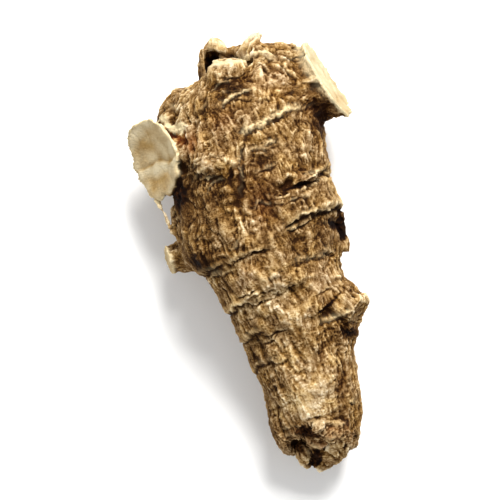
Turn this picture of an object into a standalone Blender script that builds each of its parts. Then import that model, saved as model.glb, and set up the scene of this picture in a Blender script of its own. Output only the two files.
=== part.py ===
"""A dried American ginseng root, with its side roots cut short, lying down.

The root grew as one piece, so it is one solid. It is drawn in millimetres as it lies: X across it,
Y from the thin end to the crown, and Z up from the surface that it lies on. Angles round the trunk
are in degrees from its upper side, and grow towards +X.
"""

import math
import random
from collections import namedtuple

import bmesh
import bpy
from mathutils import Vector, noise

MM = 0.001

# The drawing's zero is moved here, so that the middle of the root's outline is the origin.
SHIFT = (-0.3, -0.3)

Station = namedtuple("Station", "x y z across deep")
Cut = namedtuple("Cut", "name place faces reach dish")
Hollow = namedtuple("Hollow", "name place radii")
Shard = namedtuple("Shard", "name foot tip width thickness")
Ring = namedtuple("Ring", "along start end lip groove")

# The trunk, from the torn thin end up to the shoulders.
TRUNK = [
    Station(12.2, -42.5, 6.6, 2.6, 3.0),
    Station(12.8, -39.0, 7.0, 4.6, 4.9),
    Station(13.0, -36.0, 7.5, 6.3, 6.4),
    Station(12.7, -33.0, 7.9, 7.5, 7.3),
    Station(12.2, -29.0, 8.3, 8.0, 8.0),
    Station(11.2, -23.0, 9.0, 8.4, 8.6),
    Station(9.9, -18.0, 9.6, 9.1, 9.2),
    Station(8.5, -13.0, 10.3, 10.1, 9.9),
    Station(6.6, -8.0, 11.1, 11.1, 10.7),
    Station(4.6, -3.0, 11.9, 12.6, 11.4),
    Station(2.2, 3.0, 12.5, 14.4, 12.1),
    Station(1.3, 9.0, 12.9, 14.6, 12.5),
    Station(0.6, 15.0, 13.1, 13.9, 12.6),
    Station(-0.3, 20.5, 13.1, 13.9, 12.3),
    Station(-1.2, 25.5, 12.9, 12.9, 11.1),
    Station(-1.8, 29.0, 12.7, 10.6, 9.0),
    Station(-2.0, 31.4, 12.5, 6.0, 5.0),
]

# The crown: the thick neck that the stems grew from, on the trunk's right shoulder.
CROWN = [
    Station(1.0, 17.0, 13.6, 9.0, 9.5),
    Station(2.2, 25.0, 14.1, 9.0, 9.0),
    Station(3.2, 31.0, 14.3, 8.0, 7.6),
    Station(3.9, 34.6, 14.3, 6.9, 6.2),
    Station(4.2, 36.6, 14.1, 4.6, 4.0),
]

# Side roots. Each starts inside the trunk and runs out past the knife cut that ends it.
LEFT_STUB = [
    Station(-3.0, 19.5, 9.8, 8.4, 8.0),
    Station(-8.5, 18.3, 11.6, 7.8, 7.0),
    Station(-11.8, 17.6, 12.9, 7.2, 6.2),
    Station(-13.4, 17.2, 13.6, 6.3, 5.3),
    Station(-15.8, 16.6, 14.5, 6.8, 6.0),
    Station(-23.0, 15.0, 17.6, 6.7, 5.8),
]
LEFT_COLLAR = [
    Station(-2.0, 24.4, 11.6, 6.5, 6.6),
    Station(-9.0, 24.4, 12.0, 5.6, 5.8),
    Station(-13.0, 23.8, 12.6, 4.2, 4.7),
    Station(-15.8, 23.0, 13.2, 2.5, 3.0),
]
RIGHT_STUB = [
    Station(0.0, 23.0, 13.5, 7.6, 7.6),
    Station(7.0, 27.0, 14.1, 6.4, 6.8),
    Station(10.6, 29.0, 14.4, 6.1, 6.4),
    Station(13.2, 30.4, 14.8, 6.9, 6.9),
    Station(18.0, 33.0, 15.6, 7.3, 7.3),
]
TOP_KNOB = [
    Station(-2.4, 23.0, 15.5, 5.0, 4.6),
    Station(-3.2, 28.0, 17.1, 4.3, 4.2),
    Station(-4.1, 35.0, 18.5, 4.0, 4.0),
]
STEM_BASE = [
    Station(-3.0, 27.0, 10.7, 4.2, 4.2),
    Station(-5.4, 31.5, 11.1, 3.4, 3.5),
    Station(-5.9, 35.4, 11.3, 2.7, 3.0),
    Station(-5.3, 37.2, 11.5, 1.6, 1.7),
]
CROWN_PEG = [
    Station(-0.6, 32.0, 13.7, 2.4, 2.4),
    Station(0.0, 36.4, 13.9, 1.8, 1.8),
    Station(0.6, 37.4, 13.9, 1.0, 1.0),
]
RIGHT_KNOB = [
    Station(7.0, -4.6, 11.9, 6.4, 6.0),
    Station(12.4, -7.0, 13.2, 5.0, 5.4),
    Station(16.4, -8.8, 13.8, 4.4, 4.7),
    Station(23.0, -11.6, 14.4, 3.9, 4.1),
]
FLANK_STUB = [
    Station(-4.0, 1.4, 8.7, 4.4, 4.4),
    Station(-9.5, 0.0, 8.2, 3.0, 3.0),
    Station(-13.0, -0.9, 8.0, 2.5, 2.5),
    Station(-16.6, -1.8, 8.0, 1.7, 1.7),
]
BACK_STUB = [
    Station(3.0, 4.0, 7.6, 4.4, 4.4),
    Station(10.6, 4.6, 4.6, 3.4, 3.4),
    Station(16.5, 5.0, 3.0, 2.6, 2.6),
]

# Three low swellings under the root, on which it rests.
LEFT_SWELLING = [
    Station(-5.0, 15.4, 9.0, 8.0, 8.0),
    Station(-7.0, 16.0, 2.8, 6.0, 6.6),
    Station(-7.6, 16.4, -2.0, 2.4, 2.8),
]
RIGHT_SWELLING = [
    Station(6.0, 15.4, 9.0, 8.0, 8.0),
    Station(8.2, 16.2, 2.8, 5.8, 6.8),
    Station(8.8, 16.8, -2.0, 2.2, 3.0),
]
TAIL_SWELLING = [
    Station(10.4, -20.0, 7.0, 6.6, 7.0),
    Station(10.8, -22.0, 1.8, 4.6, 6.2),
    Station(10.8, -22.6, -2.0, 2.2, 3.2),
]

LIMBS = [
    TRUNK, CROWN, LEFT_STUB, LEFT_COLLAR, RIGHT_STUB, TOP_KNOB, STEM_BASE,
    CROWN_PEG, RIGHT_KNOB, FLANK_STUB, BACK_STUB, LEFT_SWELLING, RIGHT_SWELLING, TAIL_SWELLING,
]  # fmt: skip

# Knife cuts: a point on each, the way it faces, how far the knife reaches, and how much the cut has
# sunk in at its middle as it dried.
CUTS = [
    Cut("left_cut", (-17.2, 16.3, 15.0), (-0.72, -0.28, 0.63), 9.5, 0.9),
    Cut("right_cut", (14.2, 31.0, 15.0), (0.83, 0.48, 0.28), 10.0, 1.0),
    Cut("top_cut", (-3.8, 32.5, 18.0), (-0.24, 0.95, 0.20), 4.9, 0.4),
    Cut("knob_cut", (20.2, -10.4, 14.2), (0.86, -0.40, 0.32), 6.0, 0.6),
    Cut("flank_cut", (-14.9, -1.4, 8.0), (-0.95, -0.24, 0.20), 3.4, 0.3),
    Cut("back_cut", (14.6, 4.9, 3.6), (0.95, 0.05, -0.20), 3.4, 0.4),
]

# The torn thin end: a point on it and the way it faces, its size, and how ragged it is, coarse and fine.
TEAR = (12.6, -35.8, 8.4)
TEAR_FACES = (0.03, -0.86, 0.51)
TEAR_SIZE, TEAR_CELLS = 26.0, 30
TEAR_COARSE, TEAR_FINE = (3.4, 2.6), (1.1, 1.0)

# Where the root is broken open: the old stem's base, two holes in the torn end, and a pit. Each is a
# ball made lumpy by a share of its size, in so many lumps to a radius.
HOLLOW_ROUGH = 0.22
HOLLOW_LUMPS = 1.7
HOLLOWS = [
    Hollow("stem_hollow", (-6.3, 33.4, 13.9), (1.7, 4.0, 2.9)),
    Hollow("tail_hollow", (9.0, -34.8, 10.2), (1.6, 3.8, 2.0)),
    Hollow("tail_split", (12.4, -37.2, 6.4), (1.4, 4.2, 2.5)),
    Hollow("upper_pit", (2.0, 15.6, 26.0), (1.9, 1.4, 1.7)),
]

# Torn slips of bark and old stem, sunk into what they grew from. Their outline runs from the foot, at 0,
# to the tip, at 1, and its second number is a share of the width.
SHARD_OUTLINE = [
    (0.0, -0.5), (0.55, -0.46), (0.86, -0.30), (1.0, -0.05), (0.93, 0.16), (0.62, 0.42), (0.0, 0.5),
]  # fmt: skip
SHARD_THINNING = 0.35
SHARD_CURL = 0.5
SHARDS = [
    Shard("crown_spike", (-0.2, 34.6, 13.7), (2.2, 39.4, 14.5), 2.6, 1.3),
    Shard("crown_tooth", (6.2, 33.0, 15.0), (8.2, 37.3, 16.0), 2.8, 1.4),
    Shard("tail_flap", (12.6, -28.8, 13.8), (12.2, -33.4, 14.4), 3.4, 1.2),
    Shard("tail_tongue", (11.6, -32.4, 9.6), (12.4, -37.0, 11.0), 3.0, 1.2),
    Shard("hanging_scale", (15.4, 5.8, 12.6), (17.6, 0.6, 13.4), 2.6, 1.2),
]

# Growth rings on the side that shows: place along the trunk, the angles between which each runs, the
# height of its lip, and the depth of the groove on the lip's thin-end side.
TRUNK_LEAN = math.radians(21.5)
RINGS = [
    Ring(26.2, -24, 12, 0.45, 0.35),
    Ring(20.5, -8, 62, 0.65, 0.30),
    Ring(16.4, -12, 24, 0.35, 0.70),
    Ring(8.0, 16, 100, 0.60, 0.95),
    Ring(1.4, 20, 110, 0.75, 0.80),
    Ring(-1.0, -80, 10, 0.45, 0.75),
    Ring(-5.2, 10, 60, 0.35, 0.40),
    Ring(-8.8, -100, 26, 0.50, 0.85),
    Ring(-14.6, -70, 40, 0.50, 0.70),
    Ring(-20.0, -100, -20, 0.25, 0.35),
    Ring(-27.4, -90, 70, 0.35, 0.45),
]
RING_FADE = 9.0
RING_WANDER, RING_WANDER_SIZE = 0.9, 4.0
LIP_WIDTH = 1.1
GROOVE_WIDTH = 0.75

# The rings on the side that it lies on are drawn by lot between these limits.
UNDERSIDE_RINGS = 11
UNDERSIDE_SPAN = (-32.0, 27.0)
UNDERSIDE_START = (95, 170)
UNDERSIDE_TURN = (45, 110)
UNDERSIDE_LIP = (0.4, 0.8)
UNDERSIDE_GROOVE = (0.5, 0.9)
RING_SEED = 7

# Broad lumps, and folds along each limb. A limb's folds fade out as its blend grows with the distance.
LUMP_SIZE, LUMP_HEIGHT = 9.0, 0.85
LUMP_PLACE = (3.1, 0.4, 7.7)
FOLD_WIDTH, FOLD_LENGTH, FOLD_HEIGHT = 2.9, 8.5, 1.5
FOLD_MIDDLE = 0.45
FOLD_BLEND = 4.0
FOLD_SPREAD = 5.0

VOXEL = 0.45
FINE_VOXEL = 0.38
TUBE_SIDES = 28
STEPS_BETWEEN_STATIONS = 4
SMOOTHING_PASSES = 7
MOST_TRIANGLES = 9800

# A knife is a drum this deep. Its dish covers a share of its reach, in rings at these steps.
KNIFE_DEPTH = 14.0
KNIFE_SIDES = 36
DISH_SHARE = 0.78
DISH_STEPS = (0.2, 0.5, 0.8, 1.0)
FLOOR_SIZE = (120.0, 160.0, 20.0)
STEEP = 0.8


def curve_through(values, t):
    """The Catmull-Rom curve through four values, at t from the second to the third."""
    a, b, c, d = values
    return 0.5 * (
        2 * b + (c - a) * t + (2 * a - 5 * b + 4 * c - d) * t * t + (3 * b - a - 3 * c + d) * t**3
    )


def smooth_stations(limb):
    """The limb's stations with more read between them, along one smooth curve."""
    padded = [limb[0], *limb, limb[-1]]
    stations = []
    for i in range(len(limb) - 1):
        four = padded[i : i + 4]
        for step in range(STEPS_BETWEEN_STATIONS):
            t = step / STEPS_BETWEEN_STATIONS
            stations.append(Station(*(curve_through(values, t) for values in zip(*four))))
    return [*stations, limb[-1]]


def ring_of(bm, centre, side, up, across, deep, sides):
    """One oval ring of vertices."""
    ring = []
    for k in range(sides):
        angle = math.tau * k / sides
        offset = side * math.cos(angle) * across + up * math.sin(angle) * deep
        ring.append(bm.verts.new(centre + offset))
    return ring


def skin_rings(bm, rings):
    """Faces from each ring to the next, and one across each end."""
    for lower, upper in zip(rings, rings[1:]):
        for k in range(len(lower)):
            n = (k + 1) % len(lower)
            bm.faces.new((lower[k], lower[n], upper[n], upper[k]))
    bm.faces.new(rings[0][::-1])
    bm.faces.new(rings[-1])


def add_limb(bm, limb):
    """Adds one closed tube, with an oval section at each station."""
    stations = smooth_stations(limb)
    centres = [Vector(s[:3]) for s in stations]
    rings = []
    for i, station in enumerate(stations):
        tangent = centres[min(i + 1, len(centres) - 1)] - centres[max(i - 1, 0)]
        upright = Vector((0, 1, 0)) if abs(tangent.normalized().z) > STEEP else Vector((0, 0, 1))
        side = tangent.cross(upright).normalized()
        up = side.cross(tangent).normalized()
        rings.append(ring_of(bm, centres[i], side, up, station.across, station.deep, TUBE_SIDES))
    skin_rings(bm, rings)


def object_of(name, bm):
    """A new object of this mesh, with its faces pointing out."""
    bmesh.ops.recalc_face_normals(bm, faces=bm.faces)
    mesh = bpy.data.meshes.new(name)
    bm.to_mesh(mesh)
    bm.free()
    obj = bpy.data.objects.new(name, mesh)
    bpy.context.scene.collection.objects.link(obj)
    return obj


def apply_modifiers(obj):
    """Makes the mesh that the modifiers show the object's own."""
    graph = bpy.context.evaluated_depsgraph_get()
    mesh = bpy.data.meshes.new_from_object(obj.evaluated_get(graph))
    obj.modifiers.clear()
    old = obj.data
    obj.data = mesh
    bpy.data.meshes.remove(old)


def boolean(obj, tool, operation):
    """Joins or cuts obj with the tool, and removes the tool. The Manifold solver is sure on a folded skin."""
    modifier = obj.modifiers.new(operation.lower(), "BOOLEAN")
    modifier.operation = operation
    modifier.solver = "MANIFOLD"
    modifier.object = tool
    apply_modifiers(obj)
    bpy.data.objects.remove(tool)


def one_skin(obj, voxel):
    """Makes one closed skin round everything in obj, which also undoes any fold that crosses itself."""
    remesh = obj.modifiers.new("one_skin", "REMESH")
    remesh.mode = "VOXEL"
    remesh.voxel_size = voxel
    apply_modifiers(obj)


def body_of_limbs():
    """All the limbs grown together in one skin, with rounded forks."""
    bm = bmesh.new()
    for limb in LIMBS:
        add_limb(bm, limb)
    body = object_of("ginseng_root", bm)
    one_skin(body, VOXEL)
    return body


def hollow_tool(hollow):
    """A lumpy ball, for breaking the root open."""
    bm = bmesh.new()
    bmesh.ops.create_icosphere(bm, subdivisions=3, radius=1.0)
    centre, radii = Vector(hollow.place), Vector(hollow.radii)
    for v in bm.verts:
        rough = 1 + HOLLOW_ROUGH * noise.noise(v.co * HOLLOW_LUMPS + centre)
        v.co = centre + v.co * radii * rough
    return object_of(hollow.name, bm)


def smooth(body, passes):
    """Rounds off the forks and edges."""
    relax = body.modifiers.new("relax", "SMOOTH")
    relax.factor = 0.5
    relax.iterations = passes
    apply_modifiers(body)


def frame_facing(direction):
    """Three axes of which the last faces the given way."""
    normal = Vector(direction).normalized()
    side = normal.cross(Vector((0, 0, 1))).normalized()
    return side, side.cross(normal), normal


def knife_tool(cut):
    """A drum whose low domed end leaves the knife cut, a little sunk in at its middle."""
    side, up, normal = frame_facing(cut.faces)
    face = Vector(cut.place)
    bm = bmesh.new()
    rings = []
    for share in DISH_STEPS:
        centre = face - normal * cut.dish * (1 - share * share)
        radius = share * DISH_SHARE * cut.reach
        rings.append(ring_of(bm, centre, side, up, radius, radius, KNIFE_SIDES))
    for height in (0.0, KNIFE_DEPTH):
        rings.append(ring_of(bm, face + normal * height, side, up, cut.reach, cut.reach, KNIFE_SIDES))
    skin_rings(bm, rings)
    return object_of(cut.name, bm)


def tear_tool():
    """A block whose ragged end leaves the torn face."""
    side, up, normal = frame_facing(TEAR_FACES)
    bm = bmesh.new()
    bmesh.ops.create_grid(bm, x_segments=TEAR_CELLS, y_segments=TEAR_CELLS, size=TEAR_SIZE / 2)
    raised = bmesh.ops.extrude_face_region(bm, geom=bm.faces[:])
    top = {v for v in raised["geom"] if isinstance(v, bmesh.types.BMVert)}
    for v in bm.verts:
        height = TEAR_SIZE
        if v not in top:
            height = 0.0
            for size, depth in (TEAR_COARSE, TEAR_FINE):
                height += depth * noise.noise(v.co / size + Vector(TEAR))
        v.co = Vector(TEAR) + side * v.co.x + up * v.co.y + normal * height
    bmesh.ops.triangulate(bm, faces=bm.faces)
    return object_of("tear", bm)


def floor_tool():
    """A slab whose top is the surface that the root lies on."""
    bm = bmesh.new()
    bmesh.ops.create_cube(bm, size=1.0)
    for v in bm.verts:
        v.co = (v.co - Vector((0, 0, 0.5))) * Vector(FLOOR_SIZE)
    return object_of("floor", bm)


def shard_tool(shard):
    """A flat slip that narrows to a ragged tip."""
    foot, tip = Vector(shard.foot), Vector(shard.tip)
    along = (tip - foot).normalized()
    side = along.cross(Vector((0, 0, 1))).normalized()
    up = side.cross(along)
    bm = bmesh.new()
    layers = []
    for face in (-0.5, 0.5):
        layer = []
        for t, across in SHARD_OUTLINE:
            thin = shard.thickness * (1.0 - SHARD_THINNING * t)
            curl = SHARD_CURL * shard.thickness * math.sin(math.pi * t)
            place = foot.lerp(tip, t) + side * across * shard.width + up * (face * thin + curl)
            layer.append(bm.verts.new(place))
        layers.append(layer)
    under, over = layers
    bm.faces.new(under[::-1])
    bm.faces.new(over)
    for k in range(len(SHARD_OUTLINE)):
        n = (k + 1) % len(SHARD_OUTLINE)
        bm.faces.new((under[k], under[n], over[n], over[k]))
    bmesh.ops.triangulate(bm, faces=bm.faces)
    return object_of(shard.name, bm)


def underside_rings():
    """More growth rings, drawn by lot, on the side that the root lies on."""
    lot = random.Random(RING_SEED)
    low, high = UNDERSIDE_SPAN
    rings = []
    for k in range(UNDERSIDE_RINGS):
        along = low + (high - low) * (k + lot.uniform(0.2, 0.8)) / UNDERSIDE_RINGS
        start = lot.uniform(*UNDERSIDE_START)
        end = start + lot.uniform(*UNDERSIDE_TURN)
        rings.append(Ring(along, start, end, lot.uniform(*UNDERSIDE_LIP), lot.uniform(*UNDERSIDE_GROOVE)))
    return rings


def trunk_centre(along):
    """The trunk's middle line at this place along its leaning axis."""
    up_trunk = [(s.y * math.cos(TRUNK_LEAN) - s.x * math.sin(TRUNK_LEAN), s) for s in TRUNK]
    for (a, lower), (b, upper) in zip(up_trunk, up_trunk[1:]):
        if along <= b or upper is TRUNK[-1]:
            t = min(1.0, max(0.0, (along - a) / (b - a)))
            return Vector(lower[:3]).lerp(Vector(upper[:3]), t)


def window(angle, start, end):
    """1 between the two angles, with a soft fade at each."""
    middle, half = (start + end) / 2, (end - start) / 2
    off = abs((angle - middle + 180) % 360 - 180)
    return min(1.0, max(0.0, (half - off) / RING_FADE + 0.5))


def ring_relief(p, rings):
    """How far the growth rings raise the bark at this point, in millimetres."""
    along = p.y * math.cos(TRUNK_LEAN) - p.x * math.sin(TRUNK_LEAN)
    centre = trunk_centre(along)
    across = (p.x - centre.x) * math.cos(TRUNK_LEAN) + (p.y - centre.y) * math.sin(TRUNK_LEAN)
    angle = math.degrees(math.atan2(across, p.z - centre.z))
    wander = RING_WANDER * noise.noise(p / RING_WANDER_SIZE)
    height = 0.0
    for ring in rings:
        above = along + wander - ring.along
        lip = ring.lip * math.exp(-(((above - 0.5 * LIP_WIDTH) / LIP_WIDTH) ** 2))
        groove = ring.groove * math.exp(-(((above + GROOVE_WIDTH) / GROOVE_WIDTH) ** 2))
        height += (lip - groove) * window(angle, ring.start, ring.end)
    return height


def axis_of(limb):
    """Where a limb starts, which way it runs, how long and how thick it is."""
    start, end = Vector(limb[0][:3]), Vector(limb[-1][:3])
    middle = limb[len(limb) // 2]
    return start, (end - start).normalized(), (end - start).length, (middle.across + middle.deep) / 2


def fold_relief(p, axes):
    """Folds that run along the limb that this point is nearest to, and change over smoothly at a fork."""
    total, height = 0.0, 0.0
    for start, along, length, thick in axes:
        t = min(length, max(0.0, (p - start).dot(along)))
        off = (p - start - along * t).length / thick
        weight = math.exp(-FOLD_BLEND * off * off) + 1e-9
        run = (p - start).dot(along)
        stretched = (p - along * run) / FOLD_WIDTH + along * run / FOLD_LENGTH
        crease = abs(noise.noise(stretched + Vector((thick * FOLD_SPREAD, 0, 0))))
        total += weight
        height += weight * FOLD_HEIGHT * (math.sqrt(crease) - FOLD_MIDDLE)
    return height / total


def wrinkle(body):
    """Raises the lumps, folds and growth rings from the skin."""
    rings = RINGS + underside_rings()
    axes = [axis_of(limb) for limb in LIMBS]
    moves = []
    for v in body.data.vertices:
        p = v.co
        lump = LUMP_HEIGHT * noise.noise(p / LUMP_SIZE + Vector(LUMP_PLACE))
        moves.append(v.normal * (lump + fold_relief(p, axes) + ring_relief(p, rings)))
    for v, move in zip(body.data.vertices, moves):
        v.co += move


def thin_out(body, triangles):
    """Fewer, larger faces where the surface is plain."""
    mesh = body.data
    mesh.calc_loop_triangles()
    decimate = body.modifiers.new("thin_out", "DECIMATE")
    decimate.ratio = triangles / len(mesh.loop_triangles)
    decimate.use_collapse_triangulate = True
    apply_modifiers(body)


def bark_material():
    """Dry brown bark."""
    material = bpy.data.materials.new("root_bark")
    material.use_nodes = True
    shader = material.node_tree.nodes["Principled BSDF"]
    shader.inputs["Base Color"].default_value = (0.42, 0.27, 0.12, 1.0)
    shader.inputs["Roughness"].default_value = 0.82
    shader.inputs["Metallic"].default_value = 0.0
    return material


def main():
    for obj in list(bpy.data.objects):
        bpy.data.objects.remove(obj)
    root = body_of_limbs()
    for hollow in HOLLOWS:
        boolean(root, hollow_tool(hollow), "DIFFERENCE")
    smooth(root, SMOOTHING_PASSES)
    wrinkle(root)
    one_skin(root, FINE_VOXEL)
    thin_out(root, MOST_TRIANGLES)
    for cut in CUTS:
        boolean(root, knife_tool(cut), "DIFFERENCE")
    boolean(root, tear_tool(), "DIFFERENCE")
    for shard in SHARDS:
        boolean(root, shard_tool(shard), "UNION")
    boolean(root, floor_tool(), "DIFFERENCE")
    for v in root.data.vertices:
        v.co = Vector((v.co.x + SHIFT[0], v.co.y + SHIFT[1], v.co.z)) * MM
    root.data.materials.clear()
    root.data.materials.append(bark_material())
    return root


main()
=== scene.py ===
"""The looks of a dried American ginseng root, lying on a pale floor and seen from above."""

import math
from collections import namedtuple
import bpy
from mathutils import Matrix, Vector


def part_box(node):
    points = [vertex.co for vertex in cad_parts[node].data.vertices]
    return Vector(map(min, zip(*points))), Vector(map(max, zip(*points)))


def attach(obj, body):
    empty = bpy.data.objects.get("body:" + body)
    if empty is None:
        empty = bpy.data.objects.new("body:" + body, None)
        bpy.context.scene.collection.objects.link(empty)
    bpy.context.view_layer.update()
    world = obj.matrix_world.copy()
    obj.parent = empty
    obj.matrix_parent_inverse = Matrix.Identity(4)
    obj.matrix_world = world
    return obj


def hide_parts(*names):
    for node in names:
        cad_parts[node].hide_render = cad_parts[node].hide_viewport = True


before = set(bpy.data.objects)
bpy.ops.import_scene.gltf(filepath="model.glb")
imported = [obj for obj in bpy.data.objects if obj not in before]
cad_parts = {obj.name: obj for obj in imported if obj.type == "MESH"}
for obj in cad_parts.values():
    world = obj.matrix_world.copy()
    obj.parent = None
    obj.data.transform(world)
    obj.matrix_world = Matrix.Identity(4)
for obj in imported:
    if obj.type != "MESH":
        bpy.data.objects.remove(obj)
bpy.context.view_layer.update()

from types import SimpleNamespace

import bmesh
import bpy
import numpy as np
from mathutils import Matrix, Vector

MM = 0.001

# The solid is drawn in millimetres from this point of the frame, and so are the places below.
DRAWN_FROM = np.array([-0.3, -0.3, 0.0])

Limb = namedtuple("Limb", "fork tip radius")
Face = namedtuple(
    "Face", "place faces reach dish radius tone flare clean rim marks", defaults=(0.45, 1.0))
Ring = namedtuple("Ring", "along start end lip groove")
Spot = namedtuple("Spot", "place size dark raise_by calm red", defaults=(0.0, 0.0, 0.0, 0.0))
Shift = namedtuple("Shift", "place size move")
Grain = namedtuple("Grain", "place size along folds")
Blade = namedtuple("Blade", "faces stations dark calm red", defaults=(0.0, 0.0, 0.0))
Crest = namedtuple("Crest", "line half_width lift pale crack")

# The trunk's lean from +Y towards -X, and its middle line from the thin end to the crown.
TRUNK_LEAN = math.radians(21.5)
TRUNK_LINE = [
    (12.2, -42.5, 6.6), (13, -36, 7.5), (12.2, -29, 8.3), (11.2, -23, 9), (9.9, -18, 9.6),
    (8.5, -13, 10.3), (6.6, -8, 11.1), (4.6, -3, 11.9), (2.2, 3, 12.5), (1.3, 9, 12.9),
    (0.6, 15, 13.1), (-0.3, 20.5, 13.1), (-1.2, 25.5, 12.9), (-2, 31.4, 12.5),
]  # fmt: skip

# Side roots, from where each leaves the trunk to its end. The bark's wrinkles turn to run along them.
LIMBS = [
    Limb((-8.5, 18.3, 11.6), (-18, 16.2, 15.6), 7.2),
    Limb((-8, 24.4, 12), (-15.8, 23, 13.2), 5),
    Limb((5, 26, 14), (15, 31.4, 15.1), 7.4),
    Limb((-2.8, 25.5, 16.4), (-3.9, 32.5, 18), 4.4),
    Limb((-4.4, 29.6, 10.9), (-5.6, 36.6, 11.4), 3.4),
    Limb((9.5, -5.8, 12.5), (20.2, -10.4, 14.2), 5),
    Limb((-8, 0.4, 8.3), (-14.9, -1.4, 8), 2.9),
    Limb((8, 4.4, 5.6), (14.6, 4.9, 3.6), 3.2),
]

# Knife-cut ends: a point on each, the way it faces, how far it reaches, how deep it is dished, the cut
# root's own radius, how pale it is, how far its rim of bark flares, how clean the cut still is, how wide
# the pale line round it is, and how strongly its ring and rays show.
CUT_FACES = {
    "left": Face((-17.2, 16.3, 15), (-0.72, -0.28, 0.63), 7.7, 0.9, 6.7, 0.48, 0.45, 1, 0.6, 0.4),
    "right": Face((14.2, 31, 15), (0.83, 0.48, 0.28), 10, 1, 7.2, 0.85, 0.35, 1),
    "top": Face((-3.9, 34.1, 18.2), (-0.24, 0.95, 0.2), 3.8, 0.2, 3, 0.9, 0.1, 0.35),
    "knob": Face((20.2, -10.4, 14.2), (0.86, -0.4, 0.32), 6, 0.6, 4.3, 0, 0.1, 0),
    "flank": Face((-14.9, -1.4, 8), (-0.95, -0.24, 0.2), 3.4, 0.3, 2.2, 0.4, 0.2, 0.75),
    "back": Face((14.6, 4.9, 3.6), (0.95, 0.05, -0.2), 3.4, 0.4, 2.7, 0.4, 0.2, 0.75),
}

# Growth rings: place along the trunk, the angles from its upper side that each spans, lip and groove.
# The groove is also coloured near-black, as painted shade.
RINGS = [
    Ring(24.4, -24, 12, 0.1, 0.35),
    Ring(19, -8, 62, 0.12, 0.3),
    Ring(15, 6, 24, 0.15, 0.3),
    Ring(7.4, 60, 100, 0.25, 0.6),
    Ring(1.4, 20, 110, 0.45, 0.8),
    Ring(-1, -130, -42, 0.25, 0.6),
    Ring(-5.6, 10, 60, 0.2, 0.35),
    Ring(-8.8, -150, -40, 0.3, 0.7),
    Ring(-14.6, -120, -38, 0.3, 0.5),
    Ring(-20, -100, -20, 0.2, 0.35),
    Ring(-27.4, -90, -30, 0.1, 0.2),
]
RING_FADE = 9.0

# The rings' edges wander by layers of noise: the share, the cells' size and the place of each.
RING_WANDER = ((0.9, 4, 70), (0.35, 1.6, 71), (0.16, 0.6, 72))
SHORT_RINGS = 80
SHORT_RING_SPAN = (-17, 31)
SHORT_RING_TURN = (6, 26)
SHORT_RING_LIP = (0.2, 0.6)
SHORT_RING_GROOVE = (0.2, 0.7)
SHORT_RING_REACH = 1.5

# The wrinkles' way wobbles, less so towards the thin end, which lies at the lower end of this span.
AXIS_WOBBLE, AXIS_WOBBLE_SIZE, AXIS_WOBBLE_SPAN = 0.7, 3.2, (-14, 0)
LIMB_START = (-2.5, 3)
LIMB_FADE = (1.7, 0.7)
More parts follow.
